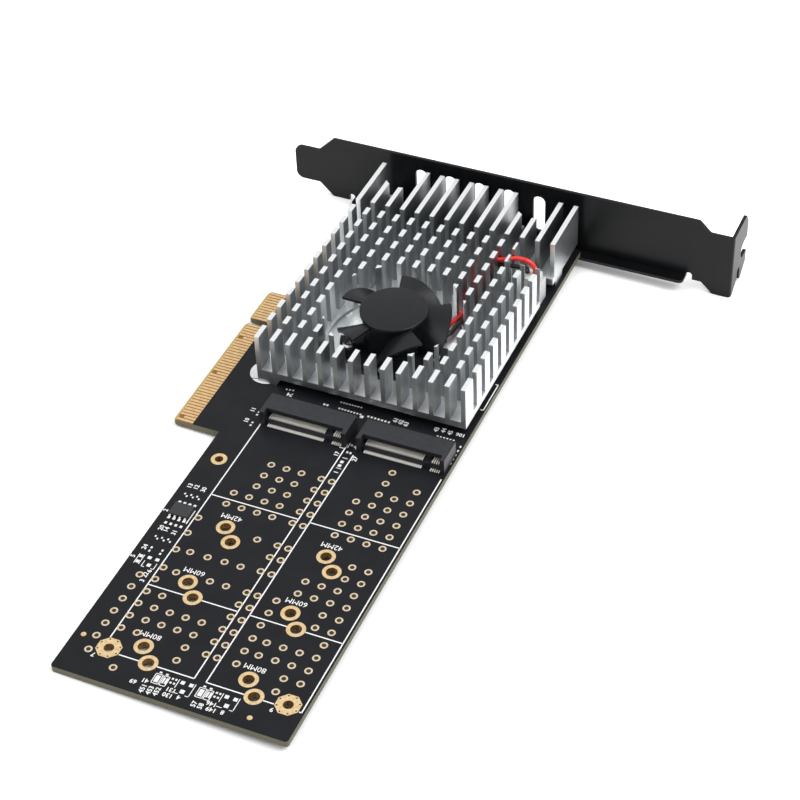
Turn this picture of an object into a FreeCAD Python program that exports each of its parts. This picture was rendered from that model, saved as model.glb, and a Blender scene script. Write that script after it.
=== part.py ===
import FreeCAD, Part
import math
import os

# Dual solid-state-drive adapter card for a x8 edge slot, with a full-height bracket.
# Frame, in millimetres: X runs from the contact edge towards the card's upper edge,
# Y runs along the card towards the bracket, Z points out of the component side.
# The origin is the centre of the key notch, on the contact edge and the component face.

V = FreeCAD.Vector
os.makedirs("parts", exist_ok=True)

# ---- circuit board ---------------------------------------------------------------
board_thickness = 1.6
board_lower_edge = 12.1          # X of the board's lower edge beside the contact tongue
board_upper_edge = 67.1          # X of the board's upper edge
board_near_end = -116.8          # Y of the end away from the bracket
board_far_end = 56.0             # Y of the end at the bracket
board_corner_radius = 0.8
copper = 0.05                    # plated pads stand this proud of the laminate

# ---- edge contacts ---------------------------------------------------------------
contact_pitch = 1.0
contact_width = 0.7
contact_start = 0.75             # X where a full-length contact begins
short_contact_start = 2.1        # X where a short contact begins
contact_end = 5.1                # X where every contact ends
key_notch_width = 1.9
key_notch_depth = 7.6
first_contact_offset = 1.5       # from the notch centre to the nearest contact, either side
contact_count_before_key = 11
contact_count_after_key = 38
tongue_margin = 0.65             # from the last contact's centre to the tongue's end
bevel_length = 0.7               # X reach of the bevel on each face, short of the contacts
bevel_depth = 0.4
tongue_corner_radius = 0.9
short_contacts_component = (17, 31, 48)
short_contacts_solder = (1,)

# ---- drive positions -------------------------------------------------------------
drive_centres = (30.95, 55.55)   # X of each drive's centre line
drive_seat = -28.5               # Y where a drive's contact edge stops in its socket
drive_lengths = (42.0, 60.0, 80.0)
size_hole_radius = 1.3
ring_radius = 2.36
alternate_hole_shift = (-3.1, 3.75)

# ---- plated earth pads and the single plated hole ----------------------------------
earth_pads = ((21.2, -107.8), (63.0, -107.8))
earth_pad_radius = 2.9
earth_hole_radius = 1.15
single_hole = (16.4, -47.5)
single_hole_radius = 1.0
single_ring_radius = 1.9

# ---- bracket ---------------------------------------------------------------------
sheet = 0.86
bracket_gap = 2.1                # from the board's end to the bracket
bracket_top = 15.6               # Z of the long edge on the component side
bracket_width = 18.42
bracket_foot_x = 106.1           # X of the foot's outer face
bracket_length = 120.02
bracket_tongue_width = 10.2
bracket_shoulder = 3.0           # how far the foot end is stepped towards the solder side
foot_depth = 12.4                # Y reach of the foot beyond the bracket's inner face
foot_slot_width = 4.42
foot_slot_centre = 2.95          # Z of the foot's screw slot
flange_start = 2.9
flange_end = 94.3
flange_depth = 3.1
flange_corner_radius = 1.2
vent_width = 3.25
vent_count = 5
vent_pitch = 8.12
vent_first_x = 22.3
vent_low = 1.3
vent_high = 12.1

# ---- screws between board and bracket ----------------------------------------------
bracket_screw_x = (20.3, 56.3)
bracket_screw_inset = 4.3        # from the board's end
bracket_screw_radius = 1.45
bracket_screw_clearance = 0.15
bracket_ear_width = 8.0

# ---- heatsink --------------------------------------------------------------------
sink_x = 12.6                    # X of the side towards the contact edge
sink_y = -19.45                  # Y of the end towards the drives
sink_end_inset = 0.25            # from the heatsink's far end to the board's end
sink_columns = 14
fin_pitch = 4.03
fin_thickness = 1.2
sink_bottom = 2.0                # Z of the underside
sink_base = 1.8
sink_top = 13.7
front_fin_length = 4.65
cross_slot = 2.23
pin_length = 2.9
cross_slot_count = 11
fan_recess_radius = 16.7
fan_recess_floor = 3.0
screw_pocket_radius = 4.6
lead_notch_start = 28.6          # Y span of the notch for the fan's connector
lead_notch_length = 9.0
lead_notch_depth = 8.6           # X depth from the side

sink_screw_radius = 1.0
sink_screw_clearance = 0.2       # radial, in the board
sink_post = 4.8                  # side of the square feet that stand on the board
sink_post_slope = 1.3            # how far the foot's inner face leans out at the top
sink_far_post_y = 42.0

# ---- switch chip -----------------------------------------------------------------
chip_side = 27.0
chip_substrate = 0.65
chip_cap_side = 23.0
chip_cap = 0.85

# ---- fan -------------------------------------------------------------------------
fan_x = 39.35
fan_y = 1.6
fan_base_thickness = 1.1
fan_base_radius = 9.0
fan_lobe_radius = 13.4
fan_lobe_angles = (-168.0, 8.0)
fan_board_thickness = 0.6
fan_board_radius = 7.2
bearing_tube_radius = 2.4
bearing_radius = 1.6
shaft_radius = 0.75
shaft_clearance = 0.02
running_gap = 0.35               # between anything that spins and anything that doesn't
stator_thickness = 2.6
stator_radius = 6.15
stator_poles = 4
magnet_thickness = 0.5
magnet_height = 5.0
cup_wall = 0.7
hub_disc_radius = 8.25
hub_disc_thickness = 1.0
hub_top = 14.0                   # Z of the hub's upper face
blade_count = 5
blade_radius = 14.4
blade_first_angle = 34.0
blade_sweep = 54.0
blade_thickness = 0.8
blade_top_drop = 0.6             # leading edge below the hub's upper face
blade_clearance = 1.6            # trailing edge above the fan's base
fan_screw_radius = 0.75
fan_screw_circle = 11.3
fan_screw_angles = (-150.0, -80.0, -12.0)

# ---- fan leads and connector -------------------------------------------------------
lead_diameter = 0.95
lead_exit_angle = 32.0
lead_exit_radius = 12.2          # distance of the leads' exit from the fan's axis
header_x = 59.2
header_y = 30.9
header_width = 6.0
header_depth = 4.5
header_height = 6.0
header_wall = 0.6
header_floor = 1.2
plug_clearance = 0.05
plug_top = 8.0
pin_side = 0.5
pin_hole_radius = 0.45
pin_pitch = 2.0

# ---- drive sockets ---------------------------------------------------------------
socket_margins = (1.95, 1.45)    # from the first and last contacts' centres to the ends
socket_front = -33.3
socket_rear = -26.4
socket_height = 4.1
socket_ear = 1.1
socket_cover_front = -31.6       # Y where the upper jaw stops
socket_sill_front = -32.5        # Y where the lower jaw stops
mouth_low = 1.5
mouth_high = 2.95
socket_pitch = 0.5
socket_strip = 0.22              # width of one sprung contact
strip_thickness = 0.18
strip_room = 0.03                # play each side of a contact in its slot
first_strip_offset = -9.0        # from the drive's centre line to the first contact
key_rib_width = 1.2
key_rib_offset = 6.25

# ---- eight-lead memory chip --------------------------------------------------------
memory_x = 16.5
memory_y = -66.0
memory_length = 4.9
memory_width = 3.9
memory_height = 1.45
memory_standoff = 0.15
memory_lead_pitch = 1.27
memory_lead_width = 0.42
memory_lead_reach = 1.05


# ---- helpers ---------------------------------------------------------------------
def block(x0, x1, y0, y1, z0, z1):
    return Part.makeBox(x1 - x0, y1 - y0, z1 - z0, V(x0, y0, z0))


def rod(x, y, radius, z0, z1):
    return Part.makeCylinder(radius, z1 - z0, V(x, y, z0))


def tube(x, y, outer, inner, z0, z1):
    return rod(x, y, outer, z0, z1).cut(rod(x, y, inner, z0, z1))


def prism(points, direction):
    """Extrude the closed outline through the points along a vector."""
    outline = Part.makePolygon(points + [points[0]])
    return Part.Face(outline).extrude(direction)


def pan_screw(x, y, face_z, up, shank_radius, shank_length, head_radius, head_height):
    """A pan-head screw whose head sits on face_z and points up (1) or down (-1)."""
    axis = V(0, 0, up)
    side = Part.makeCylinder(head_radius, head_height * 0.6, V(x, y, face_z), axis)
    crown = Part.makeCone(head_radius, head_radius * 0.75, head_height * 0.4,
                          V(x, y, face_z + up * head_height * 0.6), axis)
    shank = Part.makeCylinder(shank_radius, shank_length, V(x, y, face_z), -axis)
    low, high = sorted((face_z + up * head_height * 0.45, face_z + up * head_height * 1.1))
    long_half = head_radius * 0.5
    thin_half = head_radius * 0.14
    cross = block(x - long_half, x + long_half, y - thin_half, y + thin_half, low, high)
    cross = cross.fuse(block(x - thin_half, x + thin_half, y - long_half, y + long_half, low, high))
    return side.fuse([crown, shank]).cut(cross)


def export(name, shape):
    shape.exportStep("parts/%s.step" % name)


def group(shapes):
    return Part.makeCompound(shapes)


def contact_y(number):
    """Y of an edge contact's centre, numbered from the bracket end."""
    if number <= contact_count_before_key:
        return first_contact_offset + (contact_count_before_key - number) * contact_pitch
    return -first_contact_offset - (number - contact_count_before_key - 1) * contact_pitch


# ---- places that several pieces share ----------------------------------------------
contact_count = contact_count_before_key + contact_count_after_key
tongue_far = contact_y(1) + tongue_margin
tongue_near = contact_y(contact_count) - tongue_margin
size_holes = []
for centre in drive_centres:
    for length in drive_lengths:
        hole_y = drive_seat - length
        size_holes.append((centre, hole_y))
        size_holes.append((centre + alternate_hole_shift[0], hole_y + alternate_hole_shift[1]))

sink_width = (sink_columns - 1) * fin_pitch + fin_thickness
sink_far = board_far_end - sink_end_inset
sink_right = sink_x + sink_width
sink_base_top = sink_bottom + sink_base
row_pitch = cross_slot + pin_length
sink_screws = [(sink_x + sink_post / 2, sink_y + sink_post / 2),
               (sink_right - sink_post / 2, sink_far_post_y)]
bracket_inner_face = board_far_end + bracket_gap
bracket_screws = [(x, board_far_end - bracket_screw_inset) for x in bracket_screw_x]

header_centre_x = header_x + header_width / 2
header_centre_y = header_y + header_depth / 2
header_pins = [(header_centre_x + side * pin_pitch / 2, header_centre_y) for side in (-1, 1)]

fan_base_top = fan_recess_floor + fan_base_thickness
fan_board_top = fan_base_top + fan_board_thickness
hub_ceiling = hub_top - hub_disc_thickness
magnet_outer = stator_radius + running_gap + magnet_thickness
cup_radius = magnet_outer + cup_wall
cup_bottom = fan_board_top + running_gap + 0.05
fan_screws = [(fan_x + fan_screw_circle * math.cos(math.radians(a)),
               fan_y + fan_screw_circle * math.sin(math.radians(a))) for a in fan_screw_angles]


# ---- circuit board ---------------------------------------------------------------
def make_board():
    outline = [V(board_lower_edge, board_near_end, 0), V(board_upper_edge, board_near_end, 0),
               V(board_upper_edge, board_far_end, 0), V(board_lower_edge, board_far_end, 0),
               V(board_lower_edge, tongue_far, 0), V(0, tongue_far, 0),
               V(0, tongue_near, 0), V(board_lower_edge, tongue_near, 0)]
    board = prism(outline, V(0, 0, -board_thickness))
    corners = [e for e in board.Edges
               if abs(e.Length - board_thickness) < 1e-6 and e.CenterOfMass.x > board_lower_edge - 1e-6
               and min(abs(e.CenterOfMass.y - board_near_end), abs(e.CenterOfMass.y - board_far_end)) < 1e-6]
    board = board.makeFillet(board_corner_radius, corners)
    notch_round = key_notch_width / 2
    notch = block(-1, key_notch_depth - notch_round, -notch_round, notch_round, -board_thickness, 0)
    notch = notch.fuse(rod(key_notch_depth - notch_round, 0, notch_round, -board_thickness, 0))
    drills = [rod(x, y, size_hole_radius, -board_thickness, 0) for x, y in size_holes]
    drills += [rod(x, y, earth_hole_radius, -board_thickness, 0) for x, y in earth_pads]
    drills.append(rod(single_hole[0], single_hole[1], single_hole_radius, -board_thickness, 0))
    drills += [rod(x, y, sink_screw_radius + sink_screw_clearance, -board_thickness, 0)
               for x, y in sink_screws]
    drills += [rod(x, y, bracket_screw_radius + bracket_screw_clearance, -board_thickness, 0)
               for x, y in bracket_screws]
    drills += [rod(x, y, pin_hole_radius, -board_thickness, 0) for x, y in header_pins]
    board = board.cut([notch] + drills)
    outer_corners = [e for e in board.Edges
                     if e.BoundBox.XMax < 1e-6 and abs(e.Length - board_thickness) < 1e-6]
    board = board.makeFillet(tongue_corner_radius, outer_corners)
    length = V(0, tongue_far - tongue_near, 0)
    bevels = [prism([V(0, tongue_near, z), V(bevel_length, tongue_near, z),
                     V(0, tongue_near, z + step)], length)
              for z, step in ((0, -bevel_depth), (-board_thickness, bevel_depth))]
    return board.cut(bevels)


def make_contacts(z0, short):
    pads = []
    for number in range(1, contact_count + 1):
        y = contact_y(number)
        start = short_contact_start if number in short else contact_start
        pads.append(block(start, contact_end, y - contact_width / 2, y + contact_width / 2, z0, z0 + copper))
    return group(pads)


def make_size_rings():
    """The plated ring around each size hole."""
    return group([tube(x, y, ring_radius, size_hole_radius, 0, copper) for x, y in size_holes])


def make_earth_pads():
    """Eight-sided plated pads around the corner holes, and the ring of the single hole."""
    pads = []
    for x, y in earth_pads:
        corners = [V(x + earth_pad_radius * math.cos(math.radians(45 * k + 22.5)),
                     y + earth_pad_radius * math.sin(math.radians(45 * k + 22.5)), 0) for k in range(8)]
        pads.append(prism(corners, V(0, 0, copper)).cut(rod(x, y, earth_hole_radius, 0, copper)))
    x, y = single_hole
    pads.append(tube(x, y, single_ring_radius, single_hole_radius, 0, copper))
    return group(pads)


# ---- bracket ---------------------------------------------------------------------
def make_bracket():
    low = bracket_top - bracket_width
    inner = bracket_inner_face
    outer = inner + sheet
    end = bracket_foot_x - bracket_length
    tongue_low = (bracket_top + low) / 2 - bracket_tongue_width / 2 - 0.4
    tongue_top = tongue_low + bracket_tongue_width
    neck = end + 6.8
    foot_top = bracket_top - bracket_shoulder
    foot_low = low - bracket_shoulder
    step = bracket_foot_x - 9.2
    plate = prism([V(end, inner, tongue_low), V(neck, inner, tongue_low),
                   V(neck + tongue_low - low, inner, low),
                   V(step + 1.4, inner, low), V(step + 1.4 + bracket_shoulder, inner, foot_low),
                   V(bracket_foot_x, inner, foot_low), V(bracket_foot_x, inner, foot_top),
                   V(step + bracket_shoulder, inner, foot_top), V(step, inner, bracket_top),
                   V(neck + bracket_top - tongue_top, inner, bracket_top), V(neck, inner, tongue_top),
                   V(end, inner, tongue_top)], V(0, sheet, 0))
    tips = [e for e in plate.Edges if abs(e.CenterOfMass.x - end) < 1e-6 and abs(e.Length - sheet) < 1e-6]
    plate = plate.makeFillet(2.0, tips)
    soft = [e for e in plate.Edges if abs(e.Length - sheet) < 1e-6
            and end + 5 < e.CenterOfMass.x < bracket_foot_x - 1]
    plate = plate.makeFillet(0.8, soft)

    # foot bent away from the board, with its screw slot and the guide notch beside the bend
    foot_y = inner + foot_depth
    foot_x = bracket_foot_x - sheet
    foot = prism([V(foot_x, inner, foot_low), V(foot_x, inner + 1.4, foot_low),
                  V(foot_x, inner + 4.8, foot_low + 2.0), V(foot_x, foot_y - 4.0, foot_low + 0.4),
                  V(foot_x, foot_y, foot_low + 3.2),
                  V(foot_x, foot_y, foot_top - 2.6), V(foot_x, foot_y - 1.9, foot_top),
                  V(foot_x, inner, foot_top)], V(sheet, 0, 0))
    slot_radius = foot_slot_width / 2
    slot_end = foot_y - 5.2 + slot_radius
    slot = block(foot_x, bracket_foot_x, slot_end, foot_y + 1,
                 foot_slot_centre - slot_radius, foot_slot_centre + slot_radius)
    slot = slot.fuse(Part.makeCylinder(slot_radius, sheet, V(foot_x, slot_end, foot_slot_centre), V(1, 0, 0)))
    notch_y = inner + 5.0
    notch = block(foot_x, bracket_foot_x, notch_y, notch_y + 2.2, foot_low - 1, foot_low + 4.0)
    notch_top = V(foot_x, notch_y + 1.1, foot_low + 4.0)
    notch = notch.fuse(Part.makeCylinder(1.1, sheet, notch_top, V(1, 0, 0)))
    bracket = plate.fuse(foot.cut([slot, notch])).removeSplitter()
    bend = [e for e in bracket.Edges
            if abs(e.BoundBox.XMin - bracket_foot_x) < 1e-6 and abs(e.BoundBox.YMax - inner) < 1e-6]
    bracket = bracket.makeFillet(sheet, bend)

    # flange along the lower edge, with two ears that reach under the board
    flange_top = -board_thickness
    flange_low = flange_top - sheet
    flange = block(flange_start, flange_end, inner - flange_depth, inner, flange_low, flange_top)
    for x, y in bracket_screws:
        half = bracket_ear_width / 2
        ear = block(x - half, x + half, y, inner - flange_depth, flange_low, flange_top)
        ear = ear.fuse(rod(x, y, half, flange_low, flange_top))
        flange = flange.fuse(ear)
    reliefs = []
    for x in (flange_start - 0.8, flange_end + 0.8):
        reliefs.append(block(x - 0.8, x + 0.8, inner, outer, low - 1, flange_top))
        reliefs.append(Part.makeCylinder(0.8, sheet, V(x, inner, flange_top), V(0, 1, 0)))
    below_flange = block(flange_start, flange_end, inner, outer, low - 1, flange_low)
    free_corners = [e for e in flange.Edges if abs(e.Length - sheet) < 1e-6
                    and abs(e.CenterOfMass.y - inner + flange_depth) < 1e-6
                    and min(abs(e.CenterOfMass.x - flange_start), abs(e.CenterOfMass.x - flange_end)) < 1e-6]
    flange = flange.removeSplitter().makeFillet(flange_corner_radius, free_corners)
    bracket = bracket.fuse(flange)
    holes = [rod(x, y, bracket_screw_radius, flange_low, flange_top) for x, y in bracket_screws]
    vents = []
    for k in range(vent_count):
        x = vent_first_x + k * vent_pitch
        r = vent_width / 2
        vents.append(block(x - r, x + r, inner, outer, vent_low + r, vent_high - r))
        for z in (vent_low + r, vent_high - r):
            vents.append(Part.makeCylinder(r, sheet, V(x, inner, z), V(0, 1, 0)))
    return bracket.cut(reliefs + [below_flange] + holes + vents).removeSplitter()


# ---- heatsink --------------------------------------------------------------------
def fin_x(column):
    return sink_x + column * fin_pitch


def row_y(row):
    """Y where a row of pins starts, counted from the first row behind the front fins."""
    return sink_y + front_fin_length + cross_slot + row * row_pitch


def make_heatsink():
    body = block(sink_x, sink_right, sink_y, sink_far, sink_bottom, sink_top)
    cuts = []
    for column in range(sink_columns - 1):
        gap = fin_x(column) + fin_thickness
        cuts.append(block(gap, fin_x(column + 1), sink_y - 1, sink_far + 1, sink_base_top, sink_top + 1))
    for row in range(cross_slot_count):
        start = row_y(row) - cross_slot
        cuts.append(block(sink_x - 1, sink_right + 1, start, start + cross_slot,
                          sink_base_top, sink_top + 1))
    body = body.cut(group(cuts))
    pockets = [rod(fan_x, fan_y, fan_recess_radius, fan_recess_floor, sink_top + 1)]
    for x, y in bracket_screws:
        pockets.append(rod(x, y, screw_pocket_radius, sink_bottom - 1, sink_top + 1))
        pockets.append(block(x - screw_pocket_radius, x + screw_pocket_radius, y, sink_far + 1,
                             sink_bottom - 1, sink_top + 1))
    pockets.append(block(sink_right - lead_notch_depth, sink_right + 1, lead_notch_start,
                         lead_notch_start + lead_notch_length, sink_bottom - 1, sink_top + 1))
    body = body.cut(pockets)
    for (x, y), inward in zip(sink_screws, (1, -1)):
        half = sink_post / 2
        foot = prism([V(x - inward * half, y - half, 0), V(x + inward * half, y - half, 0),
                      V(x + inward * (half + sink_post_slope), y - half, sink_bottom),
                      V(x - inward * half, y - half, sink_bottom)], V(0, sink_post, 0))
        body = body.fuse(foot)
    threads = [rod(x, y, sink_screw_radius, 0, sink_base_top - 0.3) for x, y in sink_screws]
    threads += [rod(x, y, fan_screw_radius, sink_bottom + 0.2, fan_recess_floor) for x, y in fan_screws]
    return body.cut(threads)


# ---- switch chip under the heatsink -------------------------------------------------
def chip_block(side, z0, z1):
    return block(fan_x - side / 2, fan_x + side / 2, fan_y - side / 2, fan_y + side / 2, z0, z1)


# ---- fan -------------------------------------------------------------------------
def make_fan_base():
    """Round base with a broad lobe for its screws, a bearing tube and the lead exit."""
    floor = fan_recess_floor
    disc = rod(fan_x, fan_y, fan_base_radius, floor, fan_base_top)
    start, stop = fan_lobe_angles
    lobe = Part.makeCylinder(fan_lobe_radius, fan_base_thickness, V(fan_x, fan_y, floor),
                             V(0, 0, 1), stop - start)
    lobe.rotate(V(fan_x, fan_y, 0), V(0, 0, 1), start)
    exit_block = block(fan_base_radius - 0.6, lead_exit_radius, -1.9, 1.9, floor, fan_base_top + 0.8)
    exit_block.rotate(V(0, 0, 0), V(0, 0, 1), lead_exit_angle)
    exit_block.translate(V(fan_x, fan_y, 0))
    post = rod(fan_x, fan_y, bearing_tube_radius, floor, hub_ceiling - 2.4)
    base = disc.fuse([lobe, exit_block, post])
    cuts = [rod(fan_x, fan_y, bearing_radius, floor + 0.5, hub_top)]
    cuts += [rod(x, y, fan_screw_radius, floor, fan_base_top) for x, y in fan_screws]
    return base.cut(cuts).removeSplitter()


def make_stator():
    """Laminated core: a ring on the bearing tube and T-shaped poles."""
    z0 = fan_board_top + 1.1
    z1 = z0 + stator_thickness
    core = rod(fan_x, fan_y, bearing_tube_radius + 1.0, z0, z1)
    rim = tube(fan_x, fan_y, stator_radius, stator_radius - 0.8, z0, z1)
    for k in range(stator_poles):
        neck = block(fan_x, fan_x + stator_radius - 0.4, fan_y - 0.75, fan_y + 0.75, z0, z1)
        neck.rotate(V(fan_x, fan_y, 0), V(0, 0, 1), k * 360 / stator_poles)
        core = core.fuse(neck)
    core = core.fuse(rim)
    gaps = []
    for k in range(stator_poles):
        gap = block(fan_x, fan_x + stator_radius + 1, fan_y - 0.9, fan_y + 0.9, z0, z1)
        gap.rotate(V(fan_x, fan_y, 0), V(0, 0, 1), (k + 0.5) * 360 / stator_poles)
        gaps.append(gap.cut(rod(fan_x, fan_y, bearing_tube_radius + 1.0, z0, z1)))
    gaps.append(rod(fan_x, fan_y, bearing_tube_radius, z0, z1))
    return core.cut(gaps).removeSplitter()


def make_coils():
    """One winding around each pole, between the core's ring and its rim."""
    z0 = fan_board_top + 1.1
    z1 = z0 + stator_thickness
    inner = bearing_tube_radius + 1.15
    outer = stator_radius - 1.1
    coils = []
    for k in range(stator_poles):
        coil = block(fan_x + inner, fan_x + outer, fan_y - 1.35, fan_y + 1.35, z0 - 0.6, z1 + 0.6)
        upright = [e for e in coil.Edges if abs(e.Length - (outer - inner)) < 1e-6]
        coil = coil.makeFillet(0.5, upright)
        coil = coil.cut(block(fan_x, fan_x + outer + 1, fan_y - 0.75, fan_y + 0.75, z0, z1))
        coil.rotate(V(fan_x, fan_y, 0), V(0, 0, 1), k * 360 / stator_poles)
        coils.append(coil)
    return group(coils)


def blade_profile(distance, half_tangent):
    """Cross-section of a blade in the plane at a distance from the axis, leading edge up."""
    reach = distance * half_tangent
    top = hub_top - blade_top_drop
    low = fan_base_top + blade_clearance
    middle = (top + low) / 2 + 0.7
    upper = Part.Arc(V(distance, reach, top), V(distance, 0, middle), V(distance, -reach, low)).toShape()
    lower = Part.Arc(V(distance, -reach, low - blade_thickness * 0.4),
                     V(distance, 0, middle - blade_thickness),
                     V(distance, reach, top - blade_thickness * 1.2)).toShape()
    front = Part.makeLine(V(distance, reach, top - blade_thickness * 1.2), V(distance, reach, top))
    back = Part.makeLine(V(distance, -reach, low), V(distance, -reach, low - blade_thickness * 0.4))
    return Part.Wire([upper, back, lower, front])


def make_rotor():
    """Moulded hub cup with a flat disc and swept blades, in one piece."""
    disc = rod(fan_x, fan_y, hub_disc_radius, hub_ceiling, hub_top)
    rim = [e for e in disc.Edges if abs(e.CenterOfMass.z - hub_top) < 1e-6]
    disc = disc.makeFillet(0.25, rim)
    wall = tube(fan_x, fan_y, cup_radius, magnet_outer, cup_bottom, hub_ceiling)
    boss = rod(fan_x, fan_y, bearing_radius + 0.4, hub_ceiling - 2.0, hub_ceiling)
    half_tangent = math.tan(math.radians(blade_sweep / 2))
    blade = Part.makeLoft([blade_profile(cup_radius * 0.6, half_tangent),
                           blade_profile(blade_radius * 1.1, half_tangent)], True, True)
    ring = tube(0, 0, blade_radius, cup_radius - cup_wall / 2, fan_base_top, hub_top + 1)
    blade = blade.common(ring)
    blades = []
    for k in range(blade_count):
        angle = blade_first_angle - blade_sweep / 2 + k * 360 / blade_count
        copy = blade.copy()
        copy.rotate(V(0, 0, 0), V(0, 0, 1), angle)
        copy.translate(V(fan_x, fan_y, 0))
        blades.append(copy)
    rotor = disc.fuse([wall, boss] + blades)
    return rotor.cut(rod(fan_x, fan_y, shaft_radius, hub_ceiling - 3, hub_ceiling + 0.4)).removeSplitter()


# ---- fan leads ---------------------------------------------------------------------
def lead_path(points, fraction=0.45):
    """Straight runs joined by tangent arcs, each as large as its two runs allow."""
    edges = []
    start = points[0]
    for before, corner, after in zip(points, points[1:], points[2:]):
        back = (before - corner)
        ahead = (after - corner)
        cut = fraction * min(back.Length, ahead.Length)
        back.normalize()
        ahead.normalize()
        first = corner + back * cut
        last = corner + ahead * cut
        turn = math.pi - back.getAngle(ahead)
        radius = cut / math.tan(turn / 2)
        bisector = (back + ahead)
        bisector.normalize()
        middle = corner + bisector * (radius / math.cos(turn / 2) - radius)
        edges.append(Part.makeLine(start, first))
        edges.append(Part.Arc(first, middle, last).toShape())
        print("lead bend radius %.2f mm" % radius)
        start = last
    edges.append(Part.makeLine(start, points[-1]))
    return Part.Wire(edges)


def make_lead(points):
    path = lead_path(points)
    direction = points[1] - points[0]
    section = Part.Wire([Part.makeCircle(lead_diameter / 2, points[0], direction)])
    return path.makePipeShell([section], True, True)


def lead_points(side):
    """Route of one lead: out of the fan's base, up between two fin columns, across a
    cross slot and down into the plug. side is 1 for the red lead and -1 for the black."""
    angle = math.radians(lead_exit_angle)
    out = V(math.cos(angle), math.sin(angle), 0)
    across = V(-math.sin(angle), math.cos(angle), 0)
    exit_point = V(fan_x, fan_y, fan_base_top + 0.1) + out * lead_exit_radius + across * (side * 0.62)
    gap_x = (fin_x(9) + fin_thickness + fin_x(10)) / 2
    slot_y = row_y(9) - cross_slot / 2
    plug_x = header_centre_x - side * pin_pitch / 2
    plug_end = V(plug_x, header_centre_y, plug_top)
    low = sink_base_top + 0.7
    high = sink_top - 3.8
    if side > 0:
        return [exit_point, exit_point + out * 1.0,
                V(gap_x - 0.55, row_y(5) + 0.4, low + 0.5), V(gap_x - 0.15, row_y(7) - 0.3, low + 3.3),
                V(gap_x, slot_y, high), V(fin_x(11), slot_y, high + 0.5),
                plug_end + V(0, 0, 2.7), plug_end]
    return [exit_point, exit_point + out * 1.9,
            V(gap_x + 0.55, row_y(5), low), V(gap_x + 0.15, row_y(7) - 0.3, low + 1.6),
            V(gap_x, slot_y, high - 1.15), V(fin_x(11), slot_y - 0.1, high - 0.8),
            plug_end + V(-2.4, -1.5, 1.7), plug_end + V(0, 0, 1.9), plug_end]


# ---- fan connector -----------------------------------------------------------------
def make_header():
    body = block(header_x, header_x + header_width, header_y, header_y + header_depth, 0, header_height)
    room = block(header_x + header_wall, header_x + header_width - header_wall,
                 header_y + header_wall, header_y + header_depth - header_wall, header_floor, header_height)
    window = block(header_centre_x - 1.0, header_centre_x + 1.0, header_y, header_y + header_wall,
                   header_height * 0.45, header_height)
    pins = [block(x - pin_side / 2, x + pin_side / 2, y - pin_side / 2, y + pin_side / 2, 0, header_floor)
            for x, y in header_pins]
    return body.cut([room, window] + pins)


def make_header_pins():
    return group([block(x - pin_side / 2, x + pin_side / 2, y - pin_side / 2, y + pin_side / 2,
                        -board_thickness - 0.8, header_height * 0.75) for x, y in header_pins])


def make_plug():
    gap = header_wall + plug_clearance
    body = block(header_x + gap, header_x + header_width - gap,
                 header_y + gap, header_y + header_depth - gap, header_floor + plug_clearance, plug_top)
    latch = block(header_centre_x - 0.8, header_centre_x + 0.8, header_y - 0.3, header_y + gap,
                  header_height * 0.5, plug_top)
    room = pin_side / 2 + 0.1
    sockets = [block(x - room, x + room, y - room, y + room, header_floor, header_height * 0.8)
               for x, y in header_pins]
    return body.fuse(latch).cut(sockets).removeSplitter()


# ---- drive sockets ---------------------------------------------------------------
def strip_positions(short_group):
    """X offsets of a socket's contacts: a long group, the key's gap, a short group."""
    long_group = [first_strip_offset + k * socket_pitch for k in range(29)]
    first_short = first_strip_offset + 33 * socket_pitch
    return long_group + [first_short + k * socket_pitch for k in range(short_group)]


def make_socket(centre):
    offsets = strip_positions(5)
    x0 = centre + offsets[0] - socket_margins[0]
    x1 = centre + offsets[-1] + socket_margins[1]
    body = block(x0, x1, socket_front, socket_rear, 0, socket_height)
    inner0 = x0 + socket_ear
    inner1 = x1 - socket_ear
    cuts = [block(inner0, inner1, socket_front, drive_seat, mouth_low, mouth_high),
            block(inner0, inner1, socket_front, socket_cover_front, mouth_high, socket_height),
            block(inner0, inner1, socket_front, socket_sill_front, 0, mouth_low)]
    body = body.cut(cuts)
    rib = block(centre + key_rib_offset - key_rib_width / 2, centre + key_rib_offset + key_rib_width / 2,
                socket_cover_front + 0.4, drive_seat, mouth_low, mouth_high)
    body = body.fuse(rib)
    half = socket_strip / 2 + strip_room
    slots = [block(centre + dx - half, centre + dx + half,
                   socket_sill_front, socket_sill_front + 0.6, 0, mouth_low)
             for dx in strip_positions(5)]
    slots += [block(centre + dx - half, centre + dx + half, drive_seat, socket_rear,
                    mouth_high - strip_thickness - strip_room, mouth_high + strip_room)
              for dx in strip_positions(4)]
    return body.cut(group(slots)).removeSplitter()


def strip(x, outline):
    """One sprung contact: an outline in the Y-Z plane, as wide as the strip."""
    return prism([V(x - socket_strip / 2, y, z) for y, z in outline], V(socket_strip, 0, 0))


def make_lower_strips(centre):
    """Contacts that lie on the lower jaw and come down in front of it to the board."""
    t = strip_thickness
    leg = socket_sill_front + 0.6 - strip_room
    foot = socket_front - 0.1
    outline = [(foot, 0), (leg, 0), (leg, mouth_low), (drive_seat - 0.4, mouth_low),
               (drive_seat - 0.8, mouth_low + t + 0.2), (leg - t, mouth_low + t),
               (leg - t, t), (foot, t)]
    return group([strip(centre + dx, outline) for dx in strip_positions(5)])


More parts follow.
